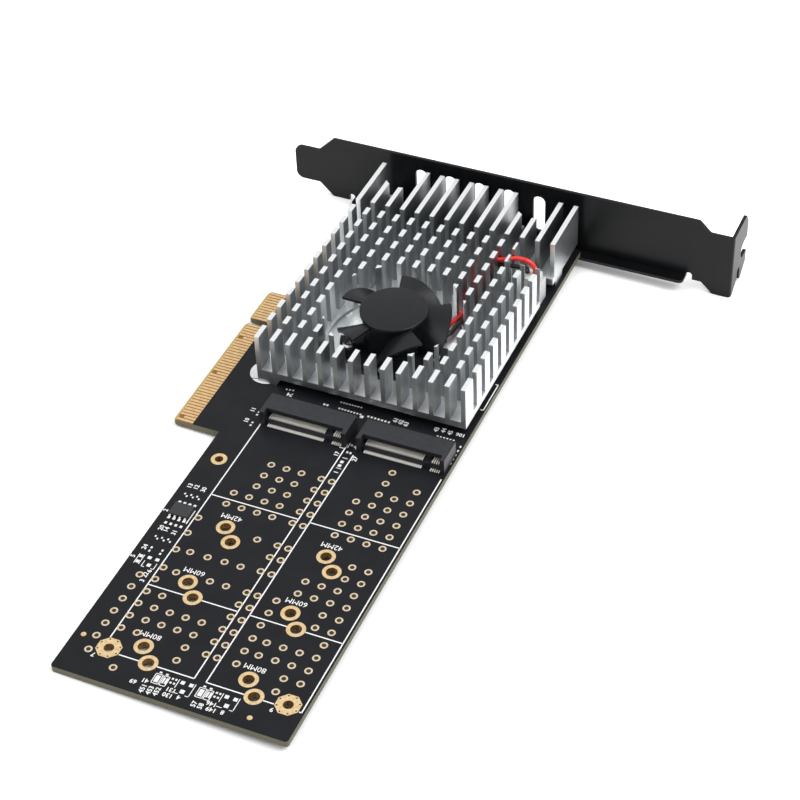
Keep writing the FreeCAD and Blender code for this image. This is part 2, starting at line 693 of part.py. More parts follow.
def make_upper_strips(centre):
    """Contacts that lie under the upper jaw and come down behind the socket."""
    t = strip_thickness
    back = socket_rear + t
    outline = [(socket_cover_front + 0.2, mouth_high), (back, mouth_high), (back, t), (back + 0.7, t),
               (back + 0.7, 0), (socket_rear, 0), (socket_rear, mouth_high - t),
               (drive_seat - 0.3, mouth_high - t), (socket_cover_front + 0.9, mouth_high - t - 0.2)]
    return group([strip(centre + dx, outline) for dx in strip_positions(4)])


# ---- memory chip -----------------------------------------------------------------
def make_memory_body():
    body = block(memory_x - memory_length / 2, memory_x + memory_length / 2,
                 memory_y - memory_width / 2, memory_y + memory_width / 2,
                 memory_standoff, memory_standoff + memory_height)
    top = [e for e in body.Edges if abs(e.CenterOfMass.z - memory_standoff - memory_height) < 1e-6]
    return body.makeChamfer(0.2, top)


def make_memory_leads():
    t = 0.2
    half = memory_width / 2
    z = memory_standoff + memory_height * 0.45
    leads = []
    for side in (-1, 1):
        for k in range(4):
            x = memory_x + (k - 1.5) * memory_lead_pitch - memory_lead_width / 2
            profile = [(half, z), (half, z + t), (half + 0.45, z + t), (half + 0.65, t),
                       (half + memory_lead_reach, t), (half + memory_lead_reach, 0),
                       (half + 0.45, 0), (half + 0.25, z)]
            outline = [V(x, memory_y + side * y, h) for y, h in profile]
            leads.append(prism(outline, V(memory_lead_width, 0, 0)))
    return group(leads)


# ---- write every piece -------------------------------------------------------------
export("pcb", make_board())
export("edge_contacts_component_side", make_contacts(0, short_contacts_component))
export("edge_contacts_solder_side", make_contacts(-board_thickness - copper, short_contacts_solder))
export("size_hole_rings", make_size_rings())
export("earth_pads", make_earth_pads())

export("bracket", make_bracket())
export("bracket_screws", group([pan_screw(x, y, 0, 1, bracket_screw_radius,
                                          board_thickness + sheet + 0.3, 2.7, 1.9)
                                for x, y in bracket_screws]))

export("heatsink", make_heatsink())
export("heatsink_screws", group([pan_screw(x, y, -board_thickness, -1, sink_screw_radius,
                                           board_thickness + sink_base_top - 0.4, 1.9, 1.2)
                                 for x, y in sink_screws]))
export("thermal_pad", chip_block(chip_cap_side, chip_substrate + chip_cap, sink_bottom))
export("switch_chip_substrate", chip_block(chip_side, 0, chip_substrate))
export("switch_chip_cap", chip_block(chip_cap_side, chip_substrate, chip_substrate + chip_cap))

export("fan_base", make_fan_base())
export("fan_circuit_board", tube(fan_x, fan_y, fan_board_radius, bearing_tube_radius,
                                 fan_base_top, fan_board_top))
export("fan_stator_core", make_stator())
export("fan_coils", make_coils())
export("fan_bearing", tube(fan_x, fan_y, bearing_radius, shaft_radius + shaft_clearance,
                           fan_recess_floor + 1.5, hub_ceiling - 2.6))
export("fan_screws", group([pan_screw(x, y, fan_base_top, 1, fan_screw_radius,
                                      fan_base_thickness + 0.7, 1.5, 0.8) for x, y in fan_screws]))
export("fan_rotor", make_rotor())
export("fan_magnet_ring", tube(fan_x, fan_y, magnet_outer, magnet_outer - magnet_thickness,
                               cup_bottom + 0.3, cup_bottom + 0.3 + magnet_height))
export("fan_shaft", rod(fan_x, fan_y, shaft_radius, fan_recess_floor + 0.85, hub_ceiling + 0.4))
export("fan_shaft_clip", tube(fan_x, fan_y, 1.2, shaft_radius, fan_recess_floor + 0.9, fan_recess_floor + 1.15))

for name, side in (("fan_lead_red", 1), ("fan_lead_black", -1)):
    export(name, make_lead(lead_points(side)))
export("fan_plug", make_plug())
export("fan_header", make_header())
export("fan_header_pins", make_header_pins())

for name, centre in zip(("left", "right"), drive_centres):
    export("socket_%s_housing" % name, make_socket(centre))
    export("socket_%s_lower_contacts" % name, make_lower_strips(centre))
    export("socket_%s_upper_contacts" % name, make_upper_strips(centre))

export("memory_chip_body", make_memory_body())
export("memory_chip_leads", make_memory_leads())
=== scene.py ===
# %% [markdown]
# Dual drive adapter card.
#
# The rigid model is loaded first and never moved. This script gives each of its pieces a
# finish, adds what is printed or plated on the board, and sets up a plain studio.

# %% Load the frame
import bmesh
import bpy
import math
import numpy as np
from mathutils import Matrix, Vector


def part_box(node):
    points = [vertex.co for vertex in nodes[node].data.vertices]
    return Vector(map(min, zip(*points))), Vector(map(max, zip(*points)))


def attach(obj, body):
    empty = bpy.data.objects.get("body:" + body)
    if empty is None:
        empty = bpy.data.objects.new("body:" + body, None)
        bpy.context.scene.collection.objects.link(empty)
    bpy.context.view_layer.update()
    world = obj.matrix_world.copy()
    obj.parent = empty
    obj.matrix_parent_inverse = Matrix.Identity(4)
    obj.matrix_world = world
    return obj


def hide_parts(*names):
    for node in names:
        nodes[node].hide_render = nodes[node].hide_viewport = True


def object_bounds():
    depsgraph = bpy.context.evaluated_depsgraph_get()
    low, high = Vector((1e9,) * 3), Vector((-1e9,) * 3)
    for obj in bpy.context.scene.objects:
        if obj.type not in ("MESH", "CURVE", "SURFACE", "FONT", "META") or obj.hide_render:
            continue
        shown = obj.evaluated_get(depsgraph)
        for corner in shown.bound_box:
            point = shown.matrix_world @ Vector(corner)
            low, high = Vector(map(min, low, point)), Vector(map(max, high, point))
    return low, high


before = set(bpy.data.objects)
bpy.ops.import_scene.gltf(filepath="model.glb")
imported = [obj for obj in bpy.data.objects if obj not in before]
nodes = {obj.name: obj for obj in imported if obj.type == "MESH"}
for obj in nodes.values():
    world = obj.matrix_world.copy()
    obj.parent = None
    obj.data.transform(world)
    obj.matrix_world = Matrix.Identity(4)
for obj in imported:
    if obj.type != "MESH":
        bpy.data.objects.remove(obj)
cad_box = [list(corner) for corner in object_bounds()]
MM = 0.001

# %% [markdown]
# ## Camera
# Small electronics are shown with a long lens from well above the board, so that the fins
# stay nearly parallel. A place, two angles and a small roll are enough to fix such a
# camera, and they are easier to read than a matrix.

# %% Camera
LENS = 97.34
CAMERA_PLACE = Vector((208.5, -359.3, 338.1)) * MM
AZIMUTH, ELEVATION, ROLL = (math.radians(a) for a in (25.04, 41.54, -2.42))


def aim(azimuth, elevation, roll):
    """Camera axes: forward from the two angles, right level with the floor, both then
    turned about forward by the roll."""
    forward = Vector((-math.sin(azimuth) * math.cos(elevation),
                      math.cos(azimuth) * math.cos(elevation), -math.sin(elevation)))
    level = Vector((math.cos(azimuth), math.sin(azimuth), 0))
    right = math.cos(roll) * level + math.sin(roll) * level.cross(forward)
    up = right.cross(forward)
    return Matrix((right, up, -forward)).transposed()


camera_data = bpy.data.cameras.new("camera")
camera_data.lens = LENS
camera_data.sensor_width = 36
camera_data.clip_start = 0.01
camera_data.clip_end = 10
camera = bpy.data.objects.new("camera", camera_data)
camera.matrix_world = Matrix.Translation(CAMERA_PLACE) @ aim(AZIMUTH, ELEVATION, ROLL).to_4x4()
bpy.context.scene.collection.objects.link(camera)
bpy.context.scene.camera = camera

# %% [markdown]
# ## Colours and nodes
# Colours are written as the hex values that a screen shows. Blender's shaders work in
# linear light, so one function converts them. A second one adds a shader node with its
# settings and its links, which keeps every material below down to a few lines.

# %% Colour and node helpers


def colour(hex_code):
    """sRGB hex to linear RGBA: c/12.92 for dark values, ((c+0.055)/1.055)^2.4 otherwise."""
    c = np.array([int(hex_code[i:i + 2], 16) for i in (1, 3, 5)]) / 255
    linear = np.where(c <= 0.04045, c / 12.92, ((c + 0.055) / 1.055) ** 2.4)
    return (*linear.tolist(), 1.0)


def add(tree, kind, inputs=None, **settings):
    """Adds a node; inputs maps a socket's name or number to a value or to another socket."""
    made = tree.nodes.new(kind)
    for name, value in settings.items():
        setattr(made, name, value)
    for name, value in (inputs or {}).items():
        socket = made.inputs[name]
        if isinstance(value, bpy.types.NodeSocket):
            tree.links.new(value, socket)
        else:
            socket.default_value = value
    return made


def surface(name, base, **inputs):
    """A material with one Principled shader. Returns the material, its tree and shader."""
    material = bpy.data.materials.new(name)
    material.use_nodes = True
    tree = material.node_tree
    tree.nodes.clear()
    shader = add(tree, "ShaderNodeBsdfPrincipled", {"Base Color": colour(base), **inputs})
    add(tree, "ShaderNodeOutputMaterial", {"Surface": shader.outputs[0]})
    return material, tree, shader


def link(tree, source, shader, name):
    tree.links.new(source, shader.inputs[name])


def ramp(tree, factor, stops, interpolation="LINEAR"):
    """A colour ramp from (position, hex) pairs."""
    made = add(tree, "ShaderNodeValToRGB", {0: factor})
    made.color_ramp.interpolation = interpolation
    while len(made.color_ramp.elements) < len(stops):
        made.color_ramp.elements.new(0.5)
    for element, (position, hex_code) in zip(made.color_ramp.elements, stops):
        element.position = position
        element.color = colour(hex_code)
    return made.outputs["Color"]


def grain(tree, size_mm, detail=2.0, stretch=(1, 1, 1)):
    """Noise whose features are about size_mm across, on Object coordinates in metres."""
    place = add(tree, "ShaderNodeTexCoord").outputs["Object"]
    mapped = add(tree, "ShaderNodeMapping", {"Vector": place, "Scale": stretch})
    noise = add(tree, "ShaderNodeTexNoise",
                {"Vector": mapped.outputs[0], "Scale": 1 / (size_mm * MM), "Detail": detail})
    return noise.outputs["Fac"]


def bump(tree, shader, height, depth_mm, strength=1.0):
    made = add(tree, "ShaderNodeBump", {"Height": height, "Distance": depth_mm * MM, "Strength": strength})
    link(tree, made.outputs[0], shader, "Normal")


def mix(tree, factor, a, b, blend="MIX"):
    """Mixes two colours by a factor; each may be a hex value or a socket."""
    pick = [colour(c) if isinstance(c, str) else c for c in (a, b)]
    made = add(tree, "ShaderNodeMix", {0: factor, 6: pick[0], 7: pick[1]},
               data_type="RGBA", blend_type=blend)
    return made.outputs[2]


def axis_step(tree, axis, at_mm, width_mm=0.05):
    """0 below a place on one Object axis and 1 above it, with a short smooth change."""
    place = add(tree, "ShaderNodeTexCoord").outputs["Object"]
    split = add(tree, "ShaderNodeSeparateXYZ", {0: place})
    made = add(tree, "ShaderNodeMapRange", {0: split.outputs[axis], 1: (at_mm - width_mm / 2) * MM,
                                            2: (at_mm + width_mm / 2) * MM, 3: 0.0, 4: 1.0})
    return made.outputs[0]


def is_level(tree):
    """1 where the surface faces up or down, 0 on upright faces."""
    normal = add(tree, "ShaderNodeNewGeometry").outputs["True Normal"]
    tilt = add(tree, "ShaderNodeSeparateXYZ", {0: normal})
    flat = add(tree, "ShaderNodeMath", {0: tilt.outputs[2]}, operation="ABSOLUTE")
    return add(tree, "ShaderNodeMath", {0: flat.outputs[0], 1: 0.5}, operation="GREATER_THAN").outputs[0]


# %% [markdown]
# ## Solder mask on laminate
# The board is glass-fibre laminate under a thin coat of black ink. The ink is almost matt
# with a faint orange-peel surface, and the weave below shows only as a slight ripple. The
# milled edges aren't inked, so they show the olive laminate, and so does the strip of bare
# board between the edge contacts, which looks brown beside the gold. All of that is a
# question of where a point lies, so the colour comes from Object coordinates.

# %% Board
MASK_EDGE = 5.1          # mm from the contact edge to where the ink starts
MARGIN = 0.85            # mm of bare board outside the contacts
BOARD_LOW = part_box("pcb")[0][2] / MM

mask, tree, shader = surface("Black solder mask on glass laminate", "#121317", **{
    "Roughness": 0.45, "Specular IOR Level": 0.16})
mottle = ramp(tree, grain(tree, 6.0), [(0.35, "#101115"), (0.65, "#15161A")])
laminate = ramp(tree, grain(tree, 0.4, stretch=(1, 1, 5)), [(0.3, "#4F4D3F"), (0.7, "#75725F")])
olive = ramp(tree, grain(tree, 0.8), [(0.3, "#A58A42"), (0.7, "#B99D55")])
brown = ramp(tree, grain(tree, 0.8), [(0.3, "#7A5426"), (0.7, "#8E662F")])
bare = mix(tree, axis_step(tree, 0, MARGIN), olive, brown)
inked = axis_step(tree, 0, MASK_EDGE)
top_colour = mix(tree, inked, bare, mottle)
link(tree, mix(tree, is_level(tree), laminate, top_colour), shader, "Base Color")
bump(tree, shader, grain(tree, 0.35, 3.0), 0.004)


# %% [markdown]
# ## Gold, tin and silk ink
# Contacts on an edge are hard gold over nickel, which wears well and looks yellow. Pads and
# rings get a flash of gold, which is paler. Both are metals, so the base colour is the
# colour of the reflection. The white print is an ink, and it is matt.

# %% Plating and ink
hard_gold, tree, shader = surface("Hard gold plating", "#E6C896", Metallic=0.8, Roughness=0.36)
link(tree, ramp(tree, grain(tree, 1.2), [(0.3, "#D3AE7C"), (0.7, "#E4C598")]), shader, "Base Color")
bump(tree, shader, grain(tree, 0.12), 0.003)

flash_gold, tree, shader = surface("Flash gold plating", "#DCC297", Metallic=0.7, Roughness=0.42)
link(tree, ramp(tree, grain(tree, 0.8), [(0.3, "#CFB17F"), (0.7, "#E2CBA2")]), shader, "Base Color")
bump(tree, shader, grain(tree, 0.2), 0.004)

# Painted glint: the socket contacts get a near-white colour with no metal in it, which stands for the bright
# reflections on their gold and keeps them bright in the housing's shade.
contact_painted_glint, tree, shader = surface("Gold contacts with painted glint", "#F8F5EC", Metallic=0.0, Roughness=0.25)
link(tree, ramp(tree, grain(tree, 0.3), [(0.3, "#F4F0E4"), (0.7, "#FFFDF8")]), shader, "Base Color")

tin, tree, shader = surface("Bright tin plating", "#E6E6E4", Metallic=0.3, Roughness=0.32)
link(tree, ramp(tree, grain(tree, 0.3), [(0.3, "#D8D8D6"), (0.7, "#F4F4F1")]), shader, "Base Color")
bump(tree, shader, grain(tree, 0.15), 0.004)

ink, tree, shader = surface("White screen print", "#EDEDED", Roughness=0.6)
link(tree, ramp(tree, grain(tree, 0.3), [(0.25, "#D9DADA"), (0.6, "#F2F2F2")]), shader, "Base Color")

via_rim, tree, shader = surface("Thin gold on via rims", "#CFC2AC", Metallic=0.5, Roughness=0.42)
link(tree, ramp(tree, grain(tree, 0.8), [(0.3, "#C2B294"), (0.7, "#D8CCB8")]), shader, "Base Color")

bore_dark, tree, shader = surface("Plated bore in shade", "#3A2614", Metallic=0.6, Roughness=0.45)
link(tree, ramp(tree, grain(tree, 0.4), [(0.3, "#1E130B"), (0.75, "#5A3E20")]), shader, "Base Color")

bore_gold, tree, shader = surface("Plated hole wall", "#8A6A36", Metallic=0.5, Roughness=0.4)
link(tree, ramp(tree, grain(tree, 0.6), [(0.3, "#6B4A1E"), (0.7, "#A5834A")]), shader, "Base Color")

# %% [markdown]
# ## Milled aluminium
# The heatsink is extruded, then sawn across into pins, blasted and clear anodised. The blast
# gives a fine speckle. The tops and the channel floors get a pale colour, which is painted
# light on every face that looks up or down, and they are a little less metallic. The walls
# get painted shade: their colour follows how open each point is, darkest deep in the
# channels. The satin surface blurs all reflections.

# %% Heatsink finish
aluminium, tree, shader = surface("Clear anodised aluminium", "#D9DCDD")
level_face = is_level(tree)
speckle = grain(tree, 0.25, 3.0)
streak = grain(tree, 0.5, 2.0, stretch=(4, 4, 0.25))
speckled_painted_light = ramp(tree, speckle, [(0.3, "#DADDDF"), (0.7, "#ECEFF0")])
# Painted shade: the walls' base colour darkens with ambient occlusion; level faces get the pale painted
# light.
wall_shade_ao = add(tree, "ShaderNodeAmbientOcclusion", {"Distance": 0.008}, samples=8)
wall = ramp(tree, wall_shade_ao.outputs["AO"], [(0.05, "#66696C"), (0.45, "#AEB2B4"), (0.9, "#E8EBEC")])
link(tree, mix(tree, level_face, wall, speckled_painted_light), shader, "Base Color")
# Level faces are less metallic, which adds to their painted light.
sheen = add(tree, "ShaderNodeMapRange", {0: level_face, 3: 1.0, 4: 0.75})
link(tree, sheen.outputs[0], shader, "Metallic")
rough = add(tree, "ShaderNodeMapRange", {0: streak, 1: 0.3, 2: 0.7, 3: 0.30, 4: 0.37})
link(tree, rough.outputs[0], shader, "Roughness")
bump(tree, shader, speckle, 0.003)

# %% [markdown]
# ## Blackened steel and moulded plastic
# The bracket is sheet steel with a thin black coat, smooth enough to shine a little at its
# edges. The fan is glass-filled plastic from a mould, darker and softer. Each has a fine
# bump at the size of its own texture.

# %% Dark finishes
black_steel, tree, shader = surface("Black coated steel", "#0E0F11", Roughness=0.34, **{
    "Specular IOR Level": 0.18})
link(tree, ramp(tree, grain(tree, 9.0), [(0.3, "#0C0D0F"), (0.7, "#111214")]), shader, "Base Color")
bump(tree, shader, grain(tree, 0.22, 3.0), 0.006)

fan_plastic, tree, shader = surface("Moulded satin plastic", "#15161A", Roughness=0.36, **{
    "Specular IOR Level": 0.22})
link(tree, ramp(tree, grain(tree, 3.0), [(0.3, "#131418"), (0.7, "#17181C")]), shader, "Base Color")
bump(tree, shader, grain(tree, 0.18, 2.0), 0.006)

socket_plastic, tree, shader = surface("Glass-filled socket plastic", "#212226", Roughness=0.36, **{
    "Specular IOR Level": 0.35})
link(tree, ramp(tree, grain(tree, 1.5), [(0.3, "#1E1F23"), (0.7, "#25262A")]), shader, "Base Color")
bump(tree, shader, grain(tree, 0.15, 2.0), 0.005)

epoxy, tree, shader = surface("Moulded epoxy", "#1D1E20", Roughness=0.55)
bump(tree, shader, grain(tree, 0.12, 2.0), 0.006)
link(tree, ramp(tree, grain(tree, 1.0), [(0.3, "#1A1B1D"), (0.7, "#232426")]), shader, "Base Color")

# %% [markdown]
# ## Leads, connector and what is inside the fan
# Lead insulation is soft vinyl with a gentle gloss. The connector is natural nylon: milky,
# so light passes into it, which a little transmission gives. Motor parts are in shade, and
# each still has its own metal or wire colour.

# %% Small finishes
red_vinyl, tree, shader = surface("Red vinyl insulation", "#E2231C", Roughness=0.35)
link(tree, ramp(tree, grain(tree, 2.0), [(0.3, "#DA1F1A"), (0.7, "#EC342B")]), shader, "Base Color")
black_vinyl, tree, shader = surface("Black vinyl insulation", "#161617", Roughness=0.35)
link(tree, ramp(tree, grain(tree, 2.0), [(0.3, "#121213"), (0.7, "#1C1C1E")]), shader, "Base Color")

nylon, tree, shader = surface("Natural nylon", "#F1F2EF", Roughness=0.30, **{
    "Transmission Weight": 0.35, "IOR": 1.53})
link(tree, ramp(tree, grain(tree, 1.5), [(0.3, "#E9EAE6"), (0.7, "#F7F8F6")]), shader, "Base Color")
bump(tree, shader, grain(tree, 0.3), 0.004)

steel, tree, shader = surface("Zinc plated steel", "#C9CBCC", Metallic=1.0, Roughness=0.36)
link(tree, ramp(tree, grain(tree, 0.5), [(0.3, "#B9BBBC"), (0.7, "#D6D8D8")]), shader, "Base Color")
core_steel, tree, shader = surface("Laminated core steel", "#8E8F91", Metallic=1.0, Roughness=0.5)
sheets = grain(tree, 0.35, 1.0, stretch=(0.05, 0.05, 1))
link(tree, ramp(tree, sheets, [(0.4, "#6F7072"), (0.6, "#A3A4A6")]), shader, "Base Color")
copper_wire, tree, shader = surface("Enamelled copper wire", "#B5672F", Metallic=0.8, Roughness=0.35)
turns = grain(tree, 0.18, 1.0, stretch=(0.2, 0.2, 1))
link(tree, ramp(tree, turns, [(0.4, "#8C4A1F"), (0.6, "#CC7A3C")]), shader, "Base Color")
bronze, tree, shader = surface("Sintered bronze", "#9C7748", Metallic=0.9, Roughness=0.55)
link(tree, ramp(tree, grain(tree, 0.15), [(0.3, "#86643A"), (0.7, "#AF8A58")]), shader, "Base Color")
ferrite, tree, shader = surface("Bonded ferrite", "#232323", Roughness=0.6)
link(tree, ramp(tree, grain(tree, 0.3), [(0.3, "#1D1D1D"), (0.7, "#2C2C2C")]), shader, "Base Color")
silicone, tree, shader = surface("Filled silicone pad", "#8A97A6", Roughness=0.7)
link(tree, ramp(tree, grain(tree, 0.6), [(0.3, "#808D9C"), (0.7, "#95A1AF")]), shader, "Base Color")
green_laminate, tree, shader = surface("Green laminate", "#12301D", Roughness=0.5)
link(tree, ramp(tree, grain(tree, 0.8), [(0.3, "#0F2A19"), (0.7, "#163722")]), shader, "Base Color")

# %% [markdown]
# ## Dress the rigid pieces
# A piece whose shape is already right only needs its material slots filled.

# %% Assign the finishes
finishes = {
    "pcb": mask, "size_hole_rings": flash_gold, "earth_pads": flash_gold,
    "edge_contacts_component_side": hard_gold, "edge_contacts_solder_side": hard_gold,
    "bracket": black_steel, "bracket_screws": steel, "heatsink": aluminium, "heatsink_screws": steel,
    "thermal_pad": silicone, "switch_chip_substrate": green_laminate, "switch_chip_cap": epoxy,
    "fan_base": fan_plastic, "fan_circuit_board": green_laminate, "fan_stator_core": core_steel,
    "fan_coils": copper_wire, "fan_bearing": bronze, "fan_screws": steel, "fan_rotor": fan_plastic,
    "fan_magnet_ring": ferrite, "fan_shaft": steel, "fan_shaft_clip": nylon,
    "fan_lead_red": red_vinyl, "fan_lead_black": black_vinyl, "fan_plug": nylon, "fan_header": nylon,
    "fan_header_pins": tin, "memory_chip_body": epoxy, "memory_chip_leads": tin,
}
for side in ("left", "right"):
    finishes[f"socket_{side}_housing"] = socket_plastic
    finishes[f"socket_{side}_lower_contacts"] = contact_painted_glint
    finishes[f"socket_{side}_upper_contacts"] = contact_painted_glint
for name, material in finishes.items():
    data = nodes[name].data
    data.materials.clear()
    data.materials.append(material)
print("dressed", len(finishes), "of", len(nodes))


# %% [markdown]
# ## Meshes from arrays
# Everything printed or plated is thin, flat and repeated, so it is worked out as whole
# arrays. One helper turns vertices and faces into a piece that rides on the card.

# %% Mesh helper


def piece(name, parts, material, body="card"):
    """Joins (vertices in mm, faces) pairs into one object whose place is in its mesh."""
    offset = 0
    vertices, faces = [], []
    for v, f in parts:
        vertices.append(np.asarray(v, dtype=float).reshape(-1, 3))
        faces += [tuple(int(i) + offset for i in face) for face in f]
        offset += len(vertices[-1])
    mesh = bpy.data.meshes.new(name)
    mesh.from_pydata((np.concatenate(vertices) * MM).tolist(), [], faces)
    mesh.validate()
    made = bpy.data.objects.new(name, mesh)
    bpy.context.scene.collection.objects.link(made)
    mesh.materials.append(material)
    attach(made, body)
    print(name, len(mesh.vertices), "vertices", len(mesh.polygons), "faces")
    return made


def bars(segments, width, z0, z1):
    """Flat bars along segments (x0, y0, x1, y1): each corner is an end of the segment plus
    or minus half the width along the segment's left-hand normal."""
    s = np.asarray(segments, dtype=float).reshape(-1, 4)
    start, end = s[:, :2], s[:, 2:]
    along = end - start
    along /= np.linalg.norm(along, axis=1, keepdims=True)
    left = np.stack([-along[:, 1], along[:, 0]], axis=1) * width / 2
    ring = np.stack([start - left, end - left, end + left, start + left], axis=1)
    low = np.concatenate([ring, np.full((*ring.shape[:2], 1), z0)], axis=2)
    high = np.concatenate([ring, np.full((*ring.shape[:2], 1), z1)], axis=2)
    vertices = np.concatenate([low, high], axis=1)
    box = np.array([(3, 2, 1, 0), (4, 5, 6, 7), (0, 1, 5, 4), (1, 2, 6, 5), (2, 3, 7, 6), (3, 0, 4, 7)])
    faces = (box[None] + 8 * np.arange(len(s))[:, None, None]).reshape(-1, 4)
    return vertices, faces


def rings(centres, outer, inner, z0, z1, steps=24):
    """Flat rings: a rectangle from inner to outer radius and z0 to z1, turned about each
    centre in equal steps. The last step joins the first, so each ring is closed."""
    c = np.asarray(centres, dtype=float).reshape(-1, 2)
    a = np.arange(steps) * 2 * np.pi / steps
    profile = np.array([(inner, z0), (outer, z0), (outer, z1), (inner, z1)])
    x = c[:, 0, None, None] + profile[None, None, :, 0] * np.cos(a)[None, :, None]
    y = c[:, 1, None, None] + profile[None, None, :, 0] * np.sin(a)[None, :, None]
    z = np.broadcast_to(profile[None, None, :, 1], x.shape)
    here = np.arange(steps)[:, None] * 4
    after = (np.arange(steps)[:, None] + 1) % steps * 4
    k = np.arange(4)[None]
    following = (k + 1) % 4
    one = np.stack([here + k, after + k, after + following, here + following], axis=2).reshape(-1, 4)
    faces = (one[None] + 4 * steps * np.arange(len(c))[:, None, None]).reshape(-1, 4)
    return np.stack([x, y, z], axis=3), faces


def discs(centres, radius, z0, z1, steps=24):
    """Flat discs: two circles of points and their side wall."""
    c = np.asarray(centres, dtype=float).reshape(-1, 2)
    a = np.arange(steps) * 2 * np.pi / steps
    circle = np.stack([np.cos(a), np.sin(a)], axis=1) * radius
    flat_points = c[:, None] + circle[None]
    low = np.concatenate([flat_points, np.full((*flat_points.shape[:2], 1), z0)], axis=2)
    high = np.concatenate([flat_points, np.full((*flat_points.shape[:2], 1), z1)], axis=2)
    vertices = np.concatenate([low, high], axis=1)
    faces = []
    for k in range(len(c)):
        first = 2 * steps * k
        faces.append(tuple(first + steps - 1 - i for i in range(steps)))
        faces.append(tuple(first + steps + i for i in range(steps)))
        faces += [(first + i, first + (i + 1) % steps, first + steps + (i + 1) % steps, first + steps + i)
                  for i in range(steps)]
    return vertices, faces


# %% [markdown]
# ## Softened edges
# Sawn, pressed and moulded edges aren't sharp: they catch a thin line of light. A copy of
# the rigid piece has its flat faces made whole again, and every hard edge gets a narrow
# two-step bevel, clamped so that neighbouring bevels can't cross.

# %% Soft edges


def softened(node, width_mm, steps=2, body="card"):
    """Replaces a rigid piece by a copy with bevelled edges."""
    source = nodes[node]
    b = bmesh.new()
    b.from_mesh(source.data)
    b.transform(source.matrix_world)
    bmesh.ops.remove_doubles(b, verts=b.verts, dist=1e-6)
    bmesh.ops.dissolve_limit(b, angle_limit=math.radians(1), verts=b.verts, edges=b.edges)
    hard = [e for e in b.edges if len(e.link_faces) == 2 and e.calc_face_angle(0) > math.radians(35)]
    bmesh.ops.bevel(b, geom=hard, offset=width_mm * MM, segments=steps, profile=0.5, affect="EDGES",
                    clamp_overlap=True, harden_normals=False)
    bmesh.ops.triangulate(b, faces=[f for f in b.faces if len(f.verts) > 4])
    mesh = bpy.data.meshes.new(node + "_soft")
    b.to_mesh(mesh)
    b.free()
    made = bpy.data.objects.new(node + "_soft", mesh)
    bpy.context.scene.collection.objects.link(made)
    mesh.materials.append(finishes[node])
    mesh.polygons.foreach_set("use_smooth", np.ones(len(mesh.polygons), dtype=bool))
    mesh.set_sharp_from_angle(angle=math.radians(50))
    even = made.modifiers.new("even", "WEIGHTED_NORMAL")
    even.weight = 100
    even.keep_sharp = True
    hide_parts(node)
    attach(made, body)
    print(made.name, len(mesh.polygons), "faces")
    return made


softened("heatsink", 0.10)
softened("bracket", 0.12)
softened("socket_left_housing", 0.12)
softened("socket_right_housing", 0.12)

# %% [markdown]
# ## Lip of each drive socket
# The upright part of each lower contact stands in a slot of the lower jaw, in deep shade
# between the jaw's ribs. A thin solid lip across the jaw stands for those ribs and, where it
# closes the slots, is a dark sheet that paints their shade. Only the contact's foot shows
# below the lip and its tip above it, which is why a socket shows two separate combs of metal.

# %% Socket lips
DRIVES = (30.95, 55.55)          # X of each drive's centre line
LIP_LEFT, LIP_RIGHT = 9.4, 9.9   # how far a lip reaches from the centre line
LIP_Y, LIP_WALL = -32.49, 0.14
LIP_LOW, LIP_HIGH = 0.24, 1.46
for side, centre in zip(("left", "right"), DRIVES):
    front = bars([(centre - LIP_LEFT, LIP_Y, centre + LIP_RIGHT, LIP_Y)], LIP_WALL, LIP_LOW, LIP_HIGH)
    piece(f"socket_{side}_lip", [front], socket_plastic)

# %% [markdown]
# ## Stitching vias
# Small plated holes tie the copper on both faces together. Most sit on one grid of 3.81 mm,
# so a column is its first via and a count, and the few that stand off the grid are given
# one by one. Each is a plated ring around a flat dark disc, whose colour paints the shade
# inside the bore over the brown of its plating. Both are flat and thin, because drilling
# some 140 such holes would cost many faces and look the same.

# %% Vias
PITCH = 3.81
VIA_OUTER, VIA_INNER = 0.90, 0.52
PLATE = 0.035


def column(x, y, count):
    """Vias in a column at x, from y downwards at the grid's pitch."""
    return [(x, y - PITCH * k) for k in range(count)]


left_drive = (
    column(24.6, -56.2, 2) + column(28.45, -44.8, 5) + column(32.3, -44.8, 5) + column(36.1, -44.8, 5)
    + [(36.1, -67.6), (20.8, -66.3), (20.8, -71.4), (20.8, -76.9)]
    + [(24.1, -76.5), (28.4, -76.5), (32.5, -76.4), (36.4, -76.4)]
    + [(20.8, -82.8), (24.1, -83.1), (32.2, -82.8), (36.1, -82.8)]
    + [(20.8, -86.6), (20.8, -90.45), (24.6, -90.45)]
    + column(20.8, -94.2, 3) + column(24.65, -94.2, 3) + column(28.45, -94.2, 2) + column(32.25, -94.2, 2)
    + column(36.1, -94.2, 4) + [(24.7, -112.3)])
edge_column = column(17.0, -86.6, 6) + [(17.35, -109.7)]
between = (column(41.1, -44.8, 5) + column(41.1, -67.6, 2) + [(41.1, -76.0)] + column(41.1, -82.8, 6)
           + column(43.7, -44.8, 5) + column(43.7, -67.6, 2) + [(43.7, -76.0)] + column(43.7, -82.8, 6))
right_drive = (
    column(51.45, -48.6, 4) + column(55.3, -37.1, 7) + column(59.1, -44.8, 5) + column(62.95, -40.95, 6)
    + column(59.1, -67.6, 2) + column(62.95, -67.6, 2)
    + column(51.45, -75.2, 2) + column(55.3, -75.2, 2) + column(59.1, -75.2, 2) + column(62.95, -75.2, 2)
    + column(59.1, -82.8, 2) + column(62.95, -82.8, 2)
    + column(48.1, -82.6, 3) + column(48.15, -94.2, 3) + column(51.45, -94.2, 2) + column(55.3, -94.2, 2)
    + column(59.1, -94.2, 4) + column(62.95, -94.2, 3) + [(62.95, -90.4)])
vias = left_drive + edge_column + between + right_drive
print("vias", len(vias))

